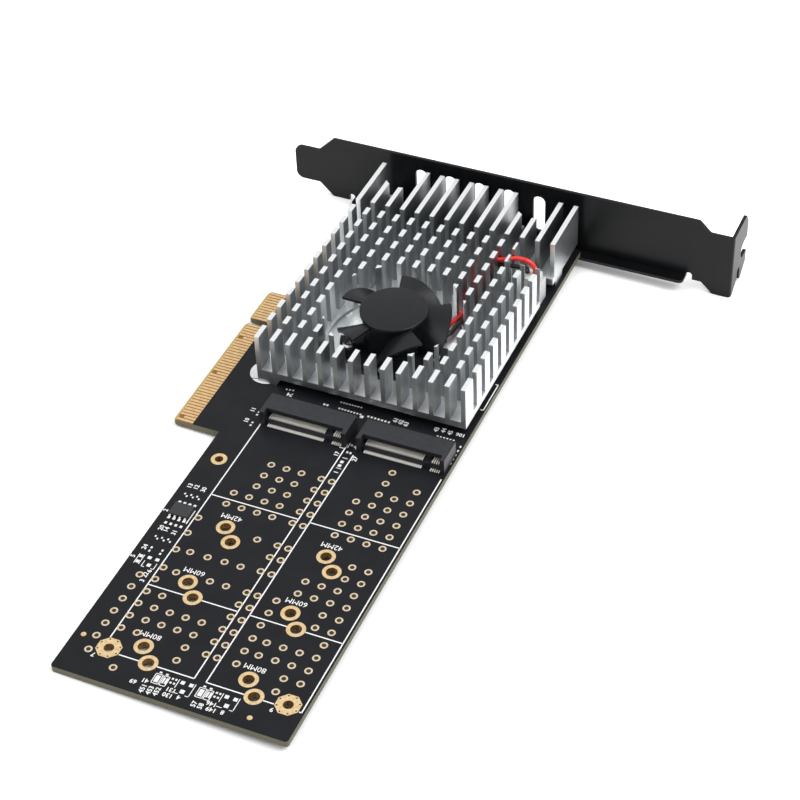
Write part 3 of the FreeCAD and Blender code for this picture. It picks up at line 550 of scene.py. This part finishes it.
for face, near, far in (("component", 0.0, 1.0), ("solder", BOARD_LOW, -1.0)):
    z0, z1 = sorted((near, near + far * PLATE))
    piece(f"vias_{face}_side", [rings(vias, VIA_OUTER, VIA_INNER, z0, z1)], via_rim)
    # Dark discs over each bore: painted shade of the hole over its brown plating.
    z0, z1 = sorted((near, near + far * PLATE * 0.3))
    piece(f"via_bores_{face}_side", [discs(vias, VIA_INNER + 0.02, z0, z1, 16)], bore_dark)

# %% [markdown]
# ## Plating in the standoff holes
# The walls of the big holes are plated too. Seen from above this is a brown band inside
# each ring, so each hole gets a thin sleeve. Each of the two earth pads also has a circle
# of eight small vias.

# %% Sleeves and small earth vias
HOLE_RADIUS, SLEEVE = 1.3, 0.04
DRIVE_LENGTHS = (42, 60, 80)
SEAT = -28.5                     # Y where a drive's contact edge stops
PAIR_SHIFT = (-3.1, 3.75)        # from a standoff hole to the second one beside it
holes = [(x + dx, SEAT - length + dy) for x in DRIVES for length in DRIVE_LENGTHS
         for dx, dy in ((0, 0), PAIR_SHIFT)]
EARTH_PADS = ((21.2, -107.8), (63.0, -107.8))
SINGLE_HOLE = (16.4, -47.5)
sleeves = [rings(centres, radius - 0.004, radius - SLEEVE, BOARD_LOW, 0.045, 40)
           for centres, radius in ((holes, HOLE_RADIUS), (EARTH_PADS, 1.15), ([SINGLE_HOLE], 1.0))]
piece("hole_plating", sleeves, bore_gold)

RING_RADIUS = 2.15
rings_made = piece("size_hole_rings_soft", [rings(holes, RING_RADIUS, HOLE_RADIUS, 0, 0.05, 48)], flash_gold)
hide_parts("size_hole_rings")

EARTH_CIRCLE = 2.4
earth_vias = [(x + EARTH_CIRCLE * math.cos(a), y + EARTH_CIRCLE * math.sin(a))
              for x, y in EARTH_PADS for a in np.arange(8) * math.pi / 4 + math.pi / 8]
# The small vias are dark discs on the pads, whose colour paints the shade in each hole.
piece("earth_vias", [discs(earth_vias, 0.2, 0.05, 0.062, 12)], bore_dark)
piece("sighting_dots", [discs([(14.3, -106.4), (57.2, -113.8)], 0.6, 0, PLATE)], flash_gold)

# %% [markdown]
# ## Screen print
# The white lines outline each drive and cross it at the three drive lengths. A line may not
# cross an open hole, so each one is broken where it meets a ring. Numbers stand beside the
# holes. They are set as text, made a mesh, and turned to read from the bracket end.

# %% Print helpers
INK = 0.02
LINE = 0.28
stops = [(x, y, RING_RADIUS + 0.05) for x, y in holes] + [(x, y, 3.0) for x, y in EARTH_PADS]


def broken(x0, y0, x1, y1):
    """Splits a line where it runs through a ring: with t along the line, a ring hides
    t from m - h to m + h, where m is the foot of its centre and h its half chord."""
    start, end = np.array((x0, y0)), np.array((x1, y1))
    length = np.linalg.norm(end - start)
    along = (end - start) / length
    left = [(0.0, length)]
    for x, y, radius in stops:
        offset = np.array((x, y)) - start
        middle = offset @ along
        away = abs(offset[0] * along[1] - offset[1] * along[0])
        if away < radius:
            half = math.sqrt(radius ** 2 - away ** 2)
            left = [(a, b) for lo, hi in left
                    for a, b in ((lo, min(hi, middle - half)), (max(lo, middle + half), hi)) if b - a > 0.05]
    return [(*(start + along * a), *(start + along * b)) for a, b in left]


def words(text, size, x, y, turn_deg, weight=0.03):
    """Text as a mesh: the outline is filled flat, given the ink's thickness and placed."""
    data = bpy.data.curves.new("print", "FONT")
    data.body = text
    data.size = size
    data.align_x = "CENTER"
    data.align_y = "CENTER"
    data.extrude = INK / 2
    data.resolution_u = 2
    data.offset = weight
    holder = bpy.data.objects.new("print", data)
    mesh = bpy.data.meshes.new_from_object(holder)
    points = np.empty(len(mesh.vertices) * 3)
    mesh.vertices.foreach_get("co", points)
    points = points.reshape(-1, 3)
    a = math.radians(turn_deg)
    turned = np.stack([x + points[:, 0] * math.cos(a) - points[:, 1] * math.sin(a),
                       y + points[:, 0] * math.sin(a) + points[:, 1] * math.cos(a),
                       points[:, 2] + INK / 2], axis=1)
    faces = [tuple(p.vertices) for p in mesh.polygons]
    bpy.data.objects.remove(holder)
    bpy.data.curves.remove(data)
    bpy.data.meshes.remove(mesh)
    return turned, faces


# %% [markdown]
# ## Outline of each drive
# A drive is 22 mm wide, so two long lines stand for its sides, and lines across show where
# a drive of each length ends. The lines are flat bars as thin as a coat of ink. The square
# bracket by the upper edge and the bar beside the memory chip are printed too.

# %% Drive outlines
OUTLINES = ((20.0, 41.85, -32.2), (44.6, 66.45, -35.0))    # left X, right X and first Y
LAST = SEAT - 80 - 0.2
lines = []
for x0, x1, y_start in OUTLINES:
    for x in (x0, x1):
        lines += broken(x, y_start, x, LAST)
    for y in (SEAT - 30, SEAT - 60, LAST):
        lines += broken(x0, y, x1, y)
lines += [(66.6, -0.2, 66.6, -9.8), (66.6, -0.2, 65.9, -0.2), (66.6, -9.8, 65.9, -9.8)]
lines += [(19.15, -64.6, 19.15, -69.0)]
print("bars of the drive outlines", len(lines))

# %% [markdown]
# ## Numbers and the outlines of small parts
# The drive lengths stand beside their holes. The places of small parts have plain numbers,
# and some have fine outlines. They follow the parts and no pattern, so each is placed by
# itself.

# %% Numbers and part outlines
NUMBER = 2.0
numbers = [words(str(length) + "MM", NUMBER, x - 3.25, SEAT - length + 7.1, 180, 0.0)
           for x in DRIVES for length in DRIVE_LENGTHS]
small = [
    ("13", 14.3, -57.8, 90), ("12", 15.9, -57.7, 90), ("30", 17.8, -57.8, 90), ("2", 12.9, -66.8, 90),
    ("20", 14.6, -72.1, 90), ("14", 15.9, -72.2, 90), ("31", 18.0, -72.4, 90), ("24", 14.0, -78.7, 90),
    ("5", 12.9, -82.1, 90), ("6", 18.5, -84.9, 90), ("22", 18.2, -86.2, 90), ("3", 18.4, -88.0, 90),
    ("69", 30.4, -114.0, 180), ("41", 32.6, -112.9, 180), ("451", 33.2, -115.0, 90),
    ("453", 34.8, -114.9, 90), ("452", 36.3, -114.7, 90), ("131", 38.8, -113.2, 180),
    ("130", 38.8, -114.7, 180), ("4", 41.2, -114.4, 180), ("57", 45.0, -114.8, 90),
    ("58", 46.5, -114.8, 90), ("149", 48.9, -114.8, 180), ("146", 48.3, -113.4, 180),
    ("8", 51.4, -114.6, 180), ("7", 19.0, -110.6, 180), ("9", 60.4, -110.2, 180),
    ("74", 21.9, -21.3, 180), ("11", 16.2, -29.3, 90), ("10", 16.4, -33.2, 90), ("17", 40.9, -36.0, 90),
    ("18", 41.1, -33.3, 90), ("61", 48.9, -20.4, 90), ("62", 50.3, -20.6, 90), ("63", 51.7, -20.8, 90),
    ("43", 59.0, -19.9, 90), ("44", 60.7, -19.6, 90), ("45", 62.4, -19.8, 90), ("106", 64.9, -19.6, 180),
    ("27", 45.5, -36.0, 90), ("1", 43.3, -41.6, 90),
]
labels = [words(text, 1.55, x, y, turn) for text, x, y, turn in small]


def outline(x0, y0, x1, y1):
    """The four sides of a rectangle."""
    return [(x0, y0, x1, y0), (x1, y0, x1, y1), (x1, y1, x0, y1), (x0, y1, x0, y0)]


fine = []
for x0 in (33.9, 44.1):
    fine += outline(x0, -112.9, x0 + 1.6, -110.3) + outline(x0 + 1.9, -112.9, x0 + 3.2, -110.3)
    fine += [(x0 + 5.3, -110.0, x0 + 5.3, -112.4), (x0 + 5.3, -113.6, x0 + 6.6, -113.6),
             (x0 + 9.1, -110.0, x0 + 9.1, -113.4), (x0 + 8.3, -113.6, x0 + 9.1, -113.6)]
fine += [(14.0, -80.9, 14.0, -83.9), (15.2, -80.9, 15.2, -83.9), (16.0, -82.4, 16.0, -84.2),
         (19.0, -82.4, 19.0, -84.2), (16.0, -84.2, 16.7, -84.2), (18.3, -84.2, 19.0, -84.2),
         (42.3, -31.5, 42.3, -33.2), (44.2, -31.3, 44.2, -33.0), (42.6, -36.6, 43.9, -36.6),
         (42.6, -40.2, 43.9, -40.2)]
print("labels", len(numbers) + len(labels), "fine bars", len(fine))

# %% [markdown]
# ## White disc under the heatsink's foot
# The heatsink's corner foot stands on a printed white disc with a dark line across it. The
# disc is cut in two along that line, and each part is a circle clipped between two chords.
# All the print is one coat of ink, so all of it becomes one piece.

# %% White disc and the whole print
POST_DISC = (13.4, -15.9)
DISC_RADIUS = 4.25
SPLIT = (2.2, 2.45)      # mm from the centre: the two sides of the dark line across the disc


def disc_part(low, high, turn_deg, steps=40):
    """The part of the disc between two parallel cuts, as the outline of a flat slab."""
    a = np.arange(steps) * 2 * np.pi / steps
    along, across = DISC_RADIUS * np.cos(a), np.clip(DISC_RADIUS * np.sin(a), low, high)
    limit = np.sqrt(np.maximum(DISC_RADIUS ** 2 - across ** 2, 0))
    along = np.clip(along, -limit, limit)
    t = math.radians(turn_deg)
    x = POST_DISC[0] + along * math.cos(t) - across * math.sin(t)
    y = POST_DISC[1] + along * math.sin(t) + across * math.cos(t)
    points = np.stack([x, y], axis=1)
    low_side = np.column_stack([points, np.zeros(steps)])
    high_side = np.column_stack([points, np.full(steps, INK)])
    faces = [tuple(range(steps - 1, -1, -1)), tuple(range(steps, 2 * steps))]
    faces += [(i, (i + 1) % steps, steps + (i + 1) % steps, steps + i) for i in range(steps)]
    return np.concatenate([low_side, high_side]), faces


disc_slabs = [disc_part(-DISC_RADIUS, SPLIT[0], 200), disc_part(SPLIT[1], DISC_RADIUS, 200)]

FINE_LINE = 0.17
line_work = [bars(lines, LINE, 0, INK), bars(fine, FINE_LINE, 0, INK)]
piece("screen_print", line_work + numbers + labels + disc_slabs, ink)

# %% [markdown]
# ## Bare pads
# Some places on the board have pads but no part. They are small tinned rectangles, and a
# handful of rows describe them.

# %% Pads
pads = []


def pad_row(x, y, step_x, step_y, count, half_x, half_y):
    """Equal pads along a line, each a short bar."""
    return [(x + step_x * k, y + step_y * k - half_y, x + step_x * k, y + step_y * k + half_y, half_x * 2)
            for k in range(count)]


for x, y in ((14.8, -60.8), (16.3, -60.7), (17.8, -60.7), (15.0, -75.2), (16.6, -75.2), (18.1, -75.1)):
    pads += pad_row(x - 0.35, y + 0.3, 0.7, -0.6, 2, 0.2, 0.25)
pads += pad_row(14.7, -70.3, 1.27, 0, 4, 0.3, 0.35)
for x, y in ((15.5, -78.9), (18.2, -78.9)):
    pads += pad_row(x, y + 0.55, 0, -1.1, 2, 0.22, 0.3)
pads += pad_row(14.6, -81.5, 0, -1.7, 2, 0.42, 0.42) + pad_row(16.6, -81.3, 1.9, 0, 2, 0.45, 0.42)
pads += pad_row(17.5, -83.4, 1, 0, 1, 0.45, 0.45)
for x0 in (33.9, 44.1):
    pads += pad_row(x0 + 0.8, -111.6, 1, 0, 1, 0.5, 0.95)
    pads += pad_row(x0 + 0.8, -109.8, 1.5, -0.05, 2, 0.3, 0.22)
    pads += pad_row(x0 + 3.9, -110.4, 0.8, 0, 2, 0.22, 0.25)
    pads += pad_row(x0 + 3.9, -111.5, 0.8, 0, 2, 0.22, 0.25)
    pads += pad_row(x0 + 6.3, -110.6, 2.0, 0, 2, 0.45, 0.45) + pad_row(x0 + 7.3, -112.8, 1, 0, 1, 0.5, 0.5)
    pads += pad_row(x0 + 2.3, -111.5, 0.6, 0, 2, 0.2, 0.8)
pads += pad_row(34.9, -21.5, 0.78, -0.02, 8, 0.2, 0.24) + pad_row(41.0, -22.3, 1, 0, 1, 0.42, 0.42)
pads += pad_row(42.4, -21.6, 0.88, -0.02, 7, 0.24, 0.28) + pad_row(34.4, -19.35, 0.74, 0, 8, 0.2, 0.2)
pads += pad_row(42.95, -32.1, 0.9, -0.2, 2, 0.25, 0.3) + pad_row(42.9, -34.6, 0.8, 0, 2, 0.25, 0.32)
pads += pad_row(43.1, -38.0, 0, -1.3, 2, 0.4, 0.4)
pads += pad_row(20.4, -19.9, 0.8, 0.1, 3, 0.2, 0.22) + pad_row(60.1, -21.9, 0.8, 0, 6, 0.2, 0.18)
pads += pad_row(66.4, -23.4, 0, -1.5, 5, 0.2, 0.3) + pad_row(17.8, -29.6, 0.0, -1.0, 2, 0.25, 0.25)
pads += pad_row(18.0, -33.4, 0.0, -1.0, 2, 0.25, 0.25) + pad_row(31.0, -21.5, 0.8, 0, 2, 0.25, 0.3)
widths = sorted({p[4] for p in pads})
pad_bars = [bars([p[:4] for p in pads if p[4] == w], w, 0, PLATE) for w in widths]
piece("bare_pads", pad_bars, tin)

# %% [markdown]
# ## Small memory chip
# An eight-leg chip stands low on the board. Its body is a moulded block with drafted sides,
# and each leg ends in a bright fillet of solder.

# %% Memory chip
CHIP = (16.5, -66.0)
CHIP_HALF = (2.45, 1.95)
LEG_PITCH = 1.27


def drafted_block(centre, half, draft, z0, z1):
    """A block that is widest halfway up, as a moulded body with two-sided draft is."""
    vertices, middle = [], (z0 + z1) / 2
    for z, inset in ((z0, draft), (middle, 0.0), (z1, draft)):
        hx, hy = half[0] - inset, half[1] - inset
        vertices += [(centre[0] + sx * hx, centre[1] + sy * hy, z)
                     for sx, sy in ((-1, -1), (1, -1), (1, 1), (-1, 1))]
    faces = [(3, 2, 1, 0), (8, 9, 10, 11)]
    faces += [(k + i, k + (i + 1) % 4, k + 4 + (i + 1) % 4, k + 4 + i) for k in (0, 4) for i in range(4)]
    return vertices, faces


chip = piece("memory_chip_moulding", [drafted_block(CHIP, CHIP_HALF, 0.09, 0.12, 0.82)], epoxy)
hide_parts("memory_chip_body")
legs = []
for side in (-1, 1):
    for k in range(4):
        x = CHIP[0] + (k - 1.5) * LEG_PITCH
        y = CHIP[1] + side * (CHIP_HALF[1] + 0.62)
        legs.append(drafted_block((x, y), (0.34, 0.42), 0.1, 0.0, 0.22))
        legs.append(drafted_block((x, CHIP[1] + side * (CHIP_HALF[1] + 0.17)), (0.21, 0.24), 0.0, 0.2, 0.46))
legs_made = piece("memory_chip_legs", legs, tin)
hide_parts("memory_chip_leads")

# %% [markdown]
# ## Hub of the fan
# The hub and its five blades are one moulding. The hub is a cup with a flat disc on top, so
# it is a profile turned about the fan's axis, with a small radius at its rim.

# %% Hub
FAN = (39.35, 1.6)
HUB_TOP, HUB_RADIUS, CUP_RADIUS, CUP_BOTTOM = 14.0, 8.25, 7.7, 5.1


def lathe(profile, steps, centre):
    """Turns an (r, z) profile about a vertical axis. Points on the axis stay single."""
    p = np.array(profile)
    a = np.arange(steps) * 2 * np.pi / steps
    x = centre[0] + p[:, 0, None] * np.cos(a)
    y = centre[1] + p[:, 0, None] * np.sin(a)
    z = np.broadcast_to(p[:, 1, None], x.shape)
    vertices = np.stack([x, y, z], axis=2).reshape(-1, 3)
    k, i = np.meshgrid(np.arange(len(p) - 1), np.arange(steps), indexing="ij")
    after = (i + 1) % steps
    faces = np.stack([k * steps + i, k * steps + after, (k + 1) * steps + after, (k + 1) * steps + i], axis=2)
    faces = [tuple(f) for f in faces.reshape(-1, 4).tolist()]
    last = (len(p) - 1) * steps
    return vertices, faces + [tuple(range(steps - 1, -1, -1)), tuple(range(last, last + steps))]


RIM = [(HUB_RADIUS - 0.3 + 0.3 * math.sin(a), HUB_TOP - 0.3 + 0.3 * math.cos(a))
       for a in np.linspace(0, math.pi / 2, 6)]
hub_profile = [(0.9, HUB_TOP - 3.0), (2.4, HUB_TOP - 3.0), (2.4, HUB_TOP - 1.0),
               (CUP_RADIUS - 0.7, HUB_TOP - 1.0), (CUP_RADIUS - 0.7, CUP_BOTTOM),
               (CUP_RADIUS, CUP_BOTTOM), (CUP_RADIUS, HUB_TOP - 1.25),
               (CUP_RADIUS + 0.1, HUB_TOP - 1.05), (HUB_RADIUS - 0.05, HUB_TOP - 1.0)]
hub_profile += RIM[::-1] + [(0.9, HUB_TOP)]
print("hub profile points", len(hub_profile))

# %% [markdown]
# ## Blades of the fan
# A blade is a curved sheet over the sweep from its leading to its trailing edge: it starts
# almost level and then falls ever faster, z = top - drop * t^2.4, and its wall keeps one
# thickness square to the slope. The last of the fall clears the screws in the fan's base.

# %% Blades and rotor
BLADES, FIRST_LEADING, SWEEP = 5, 34.0, 54.0
BLADE_TOP, BLADE_DROP, BLADE_REACH, BLADE_WALL = 13.15, 6.7, 13.8, 0.6
FALL = 2.4                       # power of the fall along the sweep


def blade(leading_deg, across=9, along=30):
    """One blade as a closed sheet: an upper and a lower grid, joined around the border."""
    t, v = np.meshgrid(np.linspace(0, 1, along), np.linspace(0, 1, across), indexing="ij")
    r = CUP_RADIUS - 0.3 + (BLADE_REACH - CUP_RADIUS + 0.3) * v
    angle = np.radians(leading_deg - SWEEP * t)
    z = BLADE_TOP - BLADE_DROP * t ** FALL
    slope = BLADE_DROP * FALL * t ** (FALL - 1) / (np.radians(SWEEP) * r)
    wall = BLADE_WALL * np.sqrt(1 + slope ** 2)
    upper = np.stack([FAN[0] + r * np.cos(angle), FAN[1] + r * np.sin(angle), z], axis=2).reshape(-1, 3)
    lower = upper - np.stack([np.zeros_like(wall), np.zeros_like(wall), wall], axis=2).reshape(-1, 3)
    i, j = np.meshgrid(np.arange(along - 1), np.arange(across - 1), indexing="ij")
    a, b = i * across + j, (i + 1) * across + j
    top = np.stack([a, a + 1, b + 1, b], axis=2).reshape(-1, 4)
    n = along * across
    bottom = top[:, ::-1] + n
    inner = [k * across for k in range(along)]
    trailing = [(along - 1) * across + k for k in range(1, across)]
    outer = [k * across + across - 1 for k in range(along - 2, -1, -1)]
    border = inner + trailing + outer + list(range(across - 2, 0, -1))
    wall_faces = [(p, q, q + n, p + n) for p, q in zip(border, border[1:] + border[:1])]
    return np.concatenate([upper, lower]), [tuple(f) for f in top.tolist() + bottom.tolist()] + wall_faces


def outward(made):
    """Makes every closed shell of a piece face outwards."""
    b = bmesh.new()
    b.from_mesh(made.data)
    bmesh.ops.recalc_face_normals(b, faces=b.faces)
    b.to_mesh(made.data)
    b.free()


def rounded(made, angle_deg):
    """Smooth shading that stops at edges sharper than the angle."""
    made.data.polygons.foreach_set("use_smooth", np.ones(len(made.data.polygons), dtype=bool))
    made.data.set_sharp_from_angle(angle=math.radians(angle_deg))


rotor = piece("fan_rotor_moulding",
              [lathe(hub_profile, 96, FAN)] + [blade(FIRST_LEADING + 72 * k) for k in range(BLADES)],
              fan_plastic, "rotor")
outward(rotor)
rounded(rotor, 40)
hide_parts("fan_rotor")

# %% [markdown]
# ## Fan leads
# Two thin stranded leads run from the fan's base, up between two columns of pins, across
# a sawn slot and down into the plug. Each is a tube along a smooth curve through a few
# points. A Catmull-Rom curve passes through all of them without a kink.

# %% Leads
LEAD_RADIUS = 0.6


def smooth_line(points, per_span=14):
    """Catmull-Rom: between p1 and p2 the curve leaves along (p2 - p0) / 2 and arrives
    along (p3 - p1) / 2."""
    p = np.array(points, dtype=float)
    p = np.vstack([2 * p[0] - p[1], p, 2 * p[-1] - p[-2]])
    t = np.linspace(0, 1, per_span, endpoint=False)[:, None]
    spans = [0.5 * (2 * p1 + (p2 - p0) * t + (2 * p0 - 5 * p1 + 4 * p2 - p3) * t ** 2
                    + (3 * p1 - p0 - 3 * p2 + p3) * t ** 3)
             for p0, p1, p2, p3 in zip(p, p[1:], p[2:], p[3:])]
    return np.vstack(spans + [p[-2][None]])


def tube(points, radius, sides=16):
    """A round tube along a curve. The section's frame is carried along the curve: each
    step takes the last side direction and removes its part along the new tangent."""
    line = smooth_line(points)
    tangent = np.gradient(line, axis=0)
    tangent /= np.linalg.norm(tangent, axis=1, keepdims=True)
    side = np.cross(tangent[0], (0.3, 0.2, 0.9))
    frames = []
    for direction in tangent:
        side = side - direction * (side @ direction)
        side = side / np.linalg.norm(side)
        frames.append((side, np.cross(direction, side)))
    frames = np.array(frames)
    a = np.arange(sides) * 2 * np.pi / sides
    ring = radius * (np.cos(a)[None, :, None] * frames[:, None, 0]
                     + np.sin(a)[None, :, None] * frames[:, None, 1])
    vertices = (line[:, None] + ring).reshape(-1, 3)
    k, i = np.meshgrid(np.arange(len(line) - 1), np.arange(sides), indexing="ij")
    after = (i + 1) % sides
    faces = np.stack([k * sides + i, k * sides + after, (k + 1) * sides + after, (k + 1) * sides + i], axis=2)
    last = (len(line) - 1) * sides
    ends = [tuple(range(sides - 1, -1, -1)), tuple(range(last, last + sides))]
    return vertices, [tuple(f) for f in faces.reshape(-1, 4).tolist()] + ends


red_route = [(49.37, 8.59, 4.3), (49.3, 10.2, 4.35), (49.6, 12.4, 4.45), (50.5, 15.0, 4.7),
             (50.85, 19.0, 5.0), (51.0, 24.0, 5.6), (51.3, 29.2, 7.5), (52.7, 32.2, 9.6),
             (56.0, 32.6, 10.9), (58.6, 32.6, 11.9), (60.8, 32.3, 12.3), (62.6, 32.5, 11.4),
             (63.2, 33.0, 9.8), (63.2, 33.15, 7.9)]
black_route = [(50.03, 7.54, 4.3), (50.75, 9.0, 4.3), (50.95, 11.6, 4.35), (51.75, 14.5, 4.45),
               (52.1, 19.0, 4.5), (52.1, 24.0, 4.7), (52.0, 29.3, 6.1), (53.0, 32.3, 8.2),
               (56.0, 32.5, 9.2), (58.8, 32.0, 9.9), (60.4, 31.9, 10.1), (61.15, 32.5, 9.5),
               (61.2, 33.1, 8.6), (61.2, 33.15, 7.9)]
for name, route, vinyl in (("red", red_route, red_vinyl), ("black", black_route, black_vinyl)):
    lead = piece(f"fan_lead_{name}_smooth", [tube(route, LEAD_RADIUS)], vinyl)
    outward(lead)
    rounded(lead, 60)
    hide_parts(f"fan_lead_{name}")

# %% [markdown]
# ## Floor
# The card lies on three points: the bracket's foot, the bracket's low corner and one corner
# of the board. The floor is the plane through those points, solved as z = a x + b y + c. It
# is pale paper that also glows a little where it is seen, so that it turns white away from
# the card. An occlusion term dims the glow under and beside the card and in its holes, which
# is painted shade on top of the lamps' own shadow.

# %% Floor
low_foot = (103.0, 60.0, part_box("bracket")[0][2] / MM)
low_corner = (-1.0, 58.5, low_foot[2] + 3.0)
board_corner = (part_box("pcb")[0][0] / MM + 12.1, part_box("pcb")[0][1] / MM, BOARD_LOW)
rests = np.array((low_foot, low_corner, board_corner))
slope_x, slope_y, level = np.linalg.solve(np.column_stack([rests[:, :2], np.ones(3)]), rests[:, 2])
print("floor slope in degrees", round(math.degrees(math.hypot(slope_x, slope_y)), 2))
REACH, FLOOR_GAP = 3000, 0.05    # the floor's half width, and how far it lies below the points
corners = [(x, y, slope_x * x + slope_y * y + level - FLOOR_GAP)
           for x, y in ((-REACH, -REACH), (REACH, -REACH), (REACH, REACH), (-REACH, REACH))]
floor_mesh = bpy.data.meshes.new("floor")
floor_mesh.from_pydata((np.array(corners) * MM).tolist(), [], [(0, 1, 2, 3)])
floor = bpy.data.objects.new("floor", floor_mesh)
bpy.context.scene.collection.objects.link(floor)


def seen_ray(tree):
    """1 for camera, glossy and transmission rays, which see the white backdrop."""
    path = add(tree, "ShaderNodeLightPath")
    first = add(tree, "ShaderNodeMath", {0: path.outputs["Is Camera Ray"], 1: path.outputs["Is Glossy Ray"]},
                operation="MAXIMUM")
    both = add(tree, "ShaderNodeMath", {0: first.outputs[0], 1: path.outputs["Is Transmission Ray"]},
               operation="MAXIMUM")
    return both.outputs[0]


floor_paint = bpy.data.materials.new("Pale studio paper")
floor_paint.use_nodes = True
tree = floor_paint.node_tree
tree.nodes.clear()
paper = add(tree, "ShaderNodeBsdfDiffuse", {"Color": colour("#F4F4F4")})
glow = add(tree, "ShaderNodeEmission", {"Color": (1, 1, 1, 1)})
# Painted shade: the glow fades with ambient occlusion under the card and in its holes.
floor_occlusion = add(tree, "ShaderNodeAmbientOcclusion", {"Distance": 0.006})
painted_floor_shade = add(tree, "ShaderNodeMath", {0: floor_occlusion.outputs["AO"], 1: 2.0}, operation="POWER")
seen = add(tree, "ShaderNodeMath", {0: seen_ray(tree), 1: 0.5}, operation="MULTIPLY")
glow_amount = add(tree, "ShaderNodeMath", {0: seen.outputs[0], 1: painted_floor_shade.outputs[0]}, operation="MULTIPLY")
tree.links.new(glow_amount.outputs[0], glow.inputs["Strength"])
both = add(tree, "ShaderNodeAddShader", {0: paper.outputs[0], 1: glow.outputs[0]})
add(tree, "ShaderNodeOutputMaterial", {"Surface": both.outputs[0]})
floor_mesh.materials.append(floor_paint)

# %% [markdown]
# ## World and lamps
# The backdrop is the world, white to the camera and in reflections and greyer as a light,
# so metal sees a white room and the card isn't washed out. Two large soft lamps stand on
# either side, the stronger beyond the card's upper edge and the weaker beyond its contacts,
# and give the fins their light and dark sides.

# %% World and lamps
WORLD_LIGHT = 0.55
world = bpy.data.worlds.new("studio")
bpy.context.scene.world = world
world.use_nodes = True
tree = world.node_tree
tree.nodes.clear()
strength = add(tree, "ShaderNodeMapRange", {0: seen_ray(tree), 1: 0.0, 2: 1.0, 3: WORLD_LIGHT, 4: 1.0})
sky = add(tree, "ShaderNodeBackground", {"Color": (1, 1, 1, 1)})
tree.links.new(strength.outputs[0], sky.inputs["Strength"])
add(tree, "ShaderNodeOutputWorld", {"Surface": sky.outputs[0]})


def soft_lamp(name, place, target, size, watts):
    """A square area lamp at a place, turned to face the target."""
    data = bpy.data.lights.new(name, "AREA")
    data.size = size
    data.energy = watts
    lamp = bpy.data.objects.new(name, data)
    lamp.location = place
    lamp.rotation_euler = (Vector(target) - Vector(place)).to_track_quat("-Z", "Y").to_euler()
    bpy.context.scene.collection.objects.link(lamp)


middle = tuple((lo + hi) / 2 for lo, hi in zip(*cad_box))
soft_lamp("key", (0.55, 0.10, 0.75), middle, 0.5, 6.5)
soft_lamp("fill", (-0.5, -0.35, 0.6), middle, 0.6, 3.0)

scene = bpy.context.scene
scene.view_settings.view_transform = "Standard"
print("world light", WORLD_LIGHT, "view", scene.view_settings.view_transform)
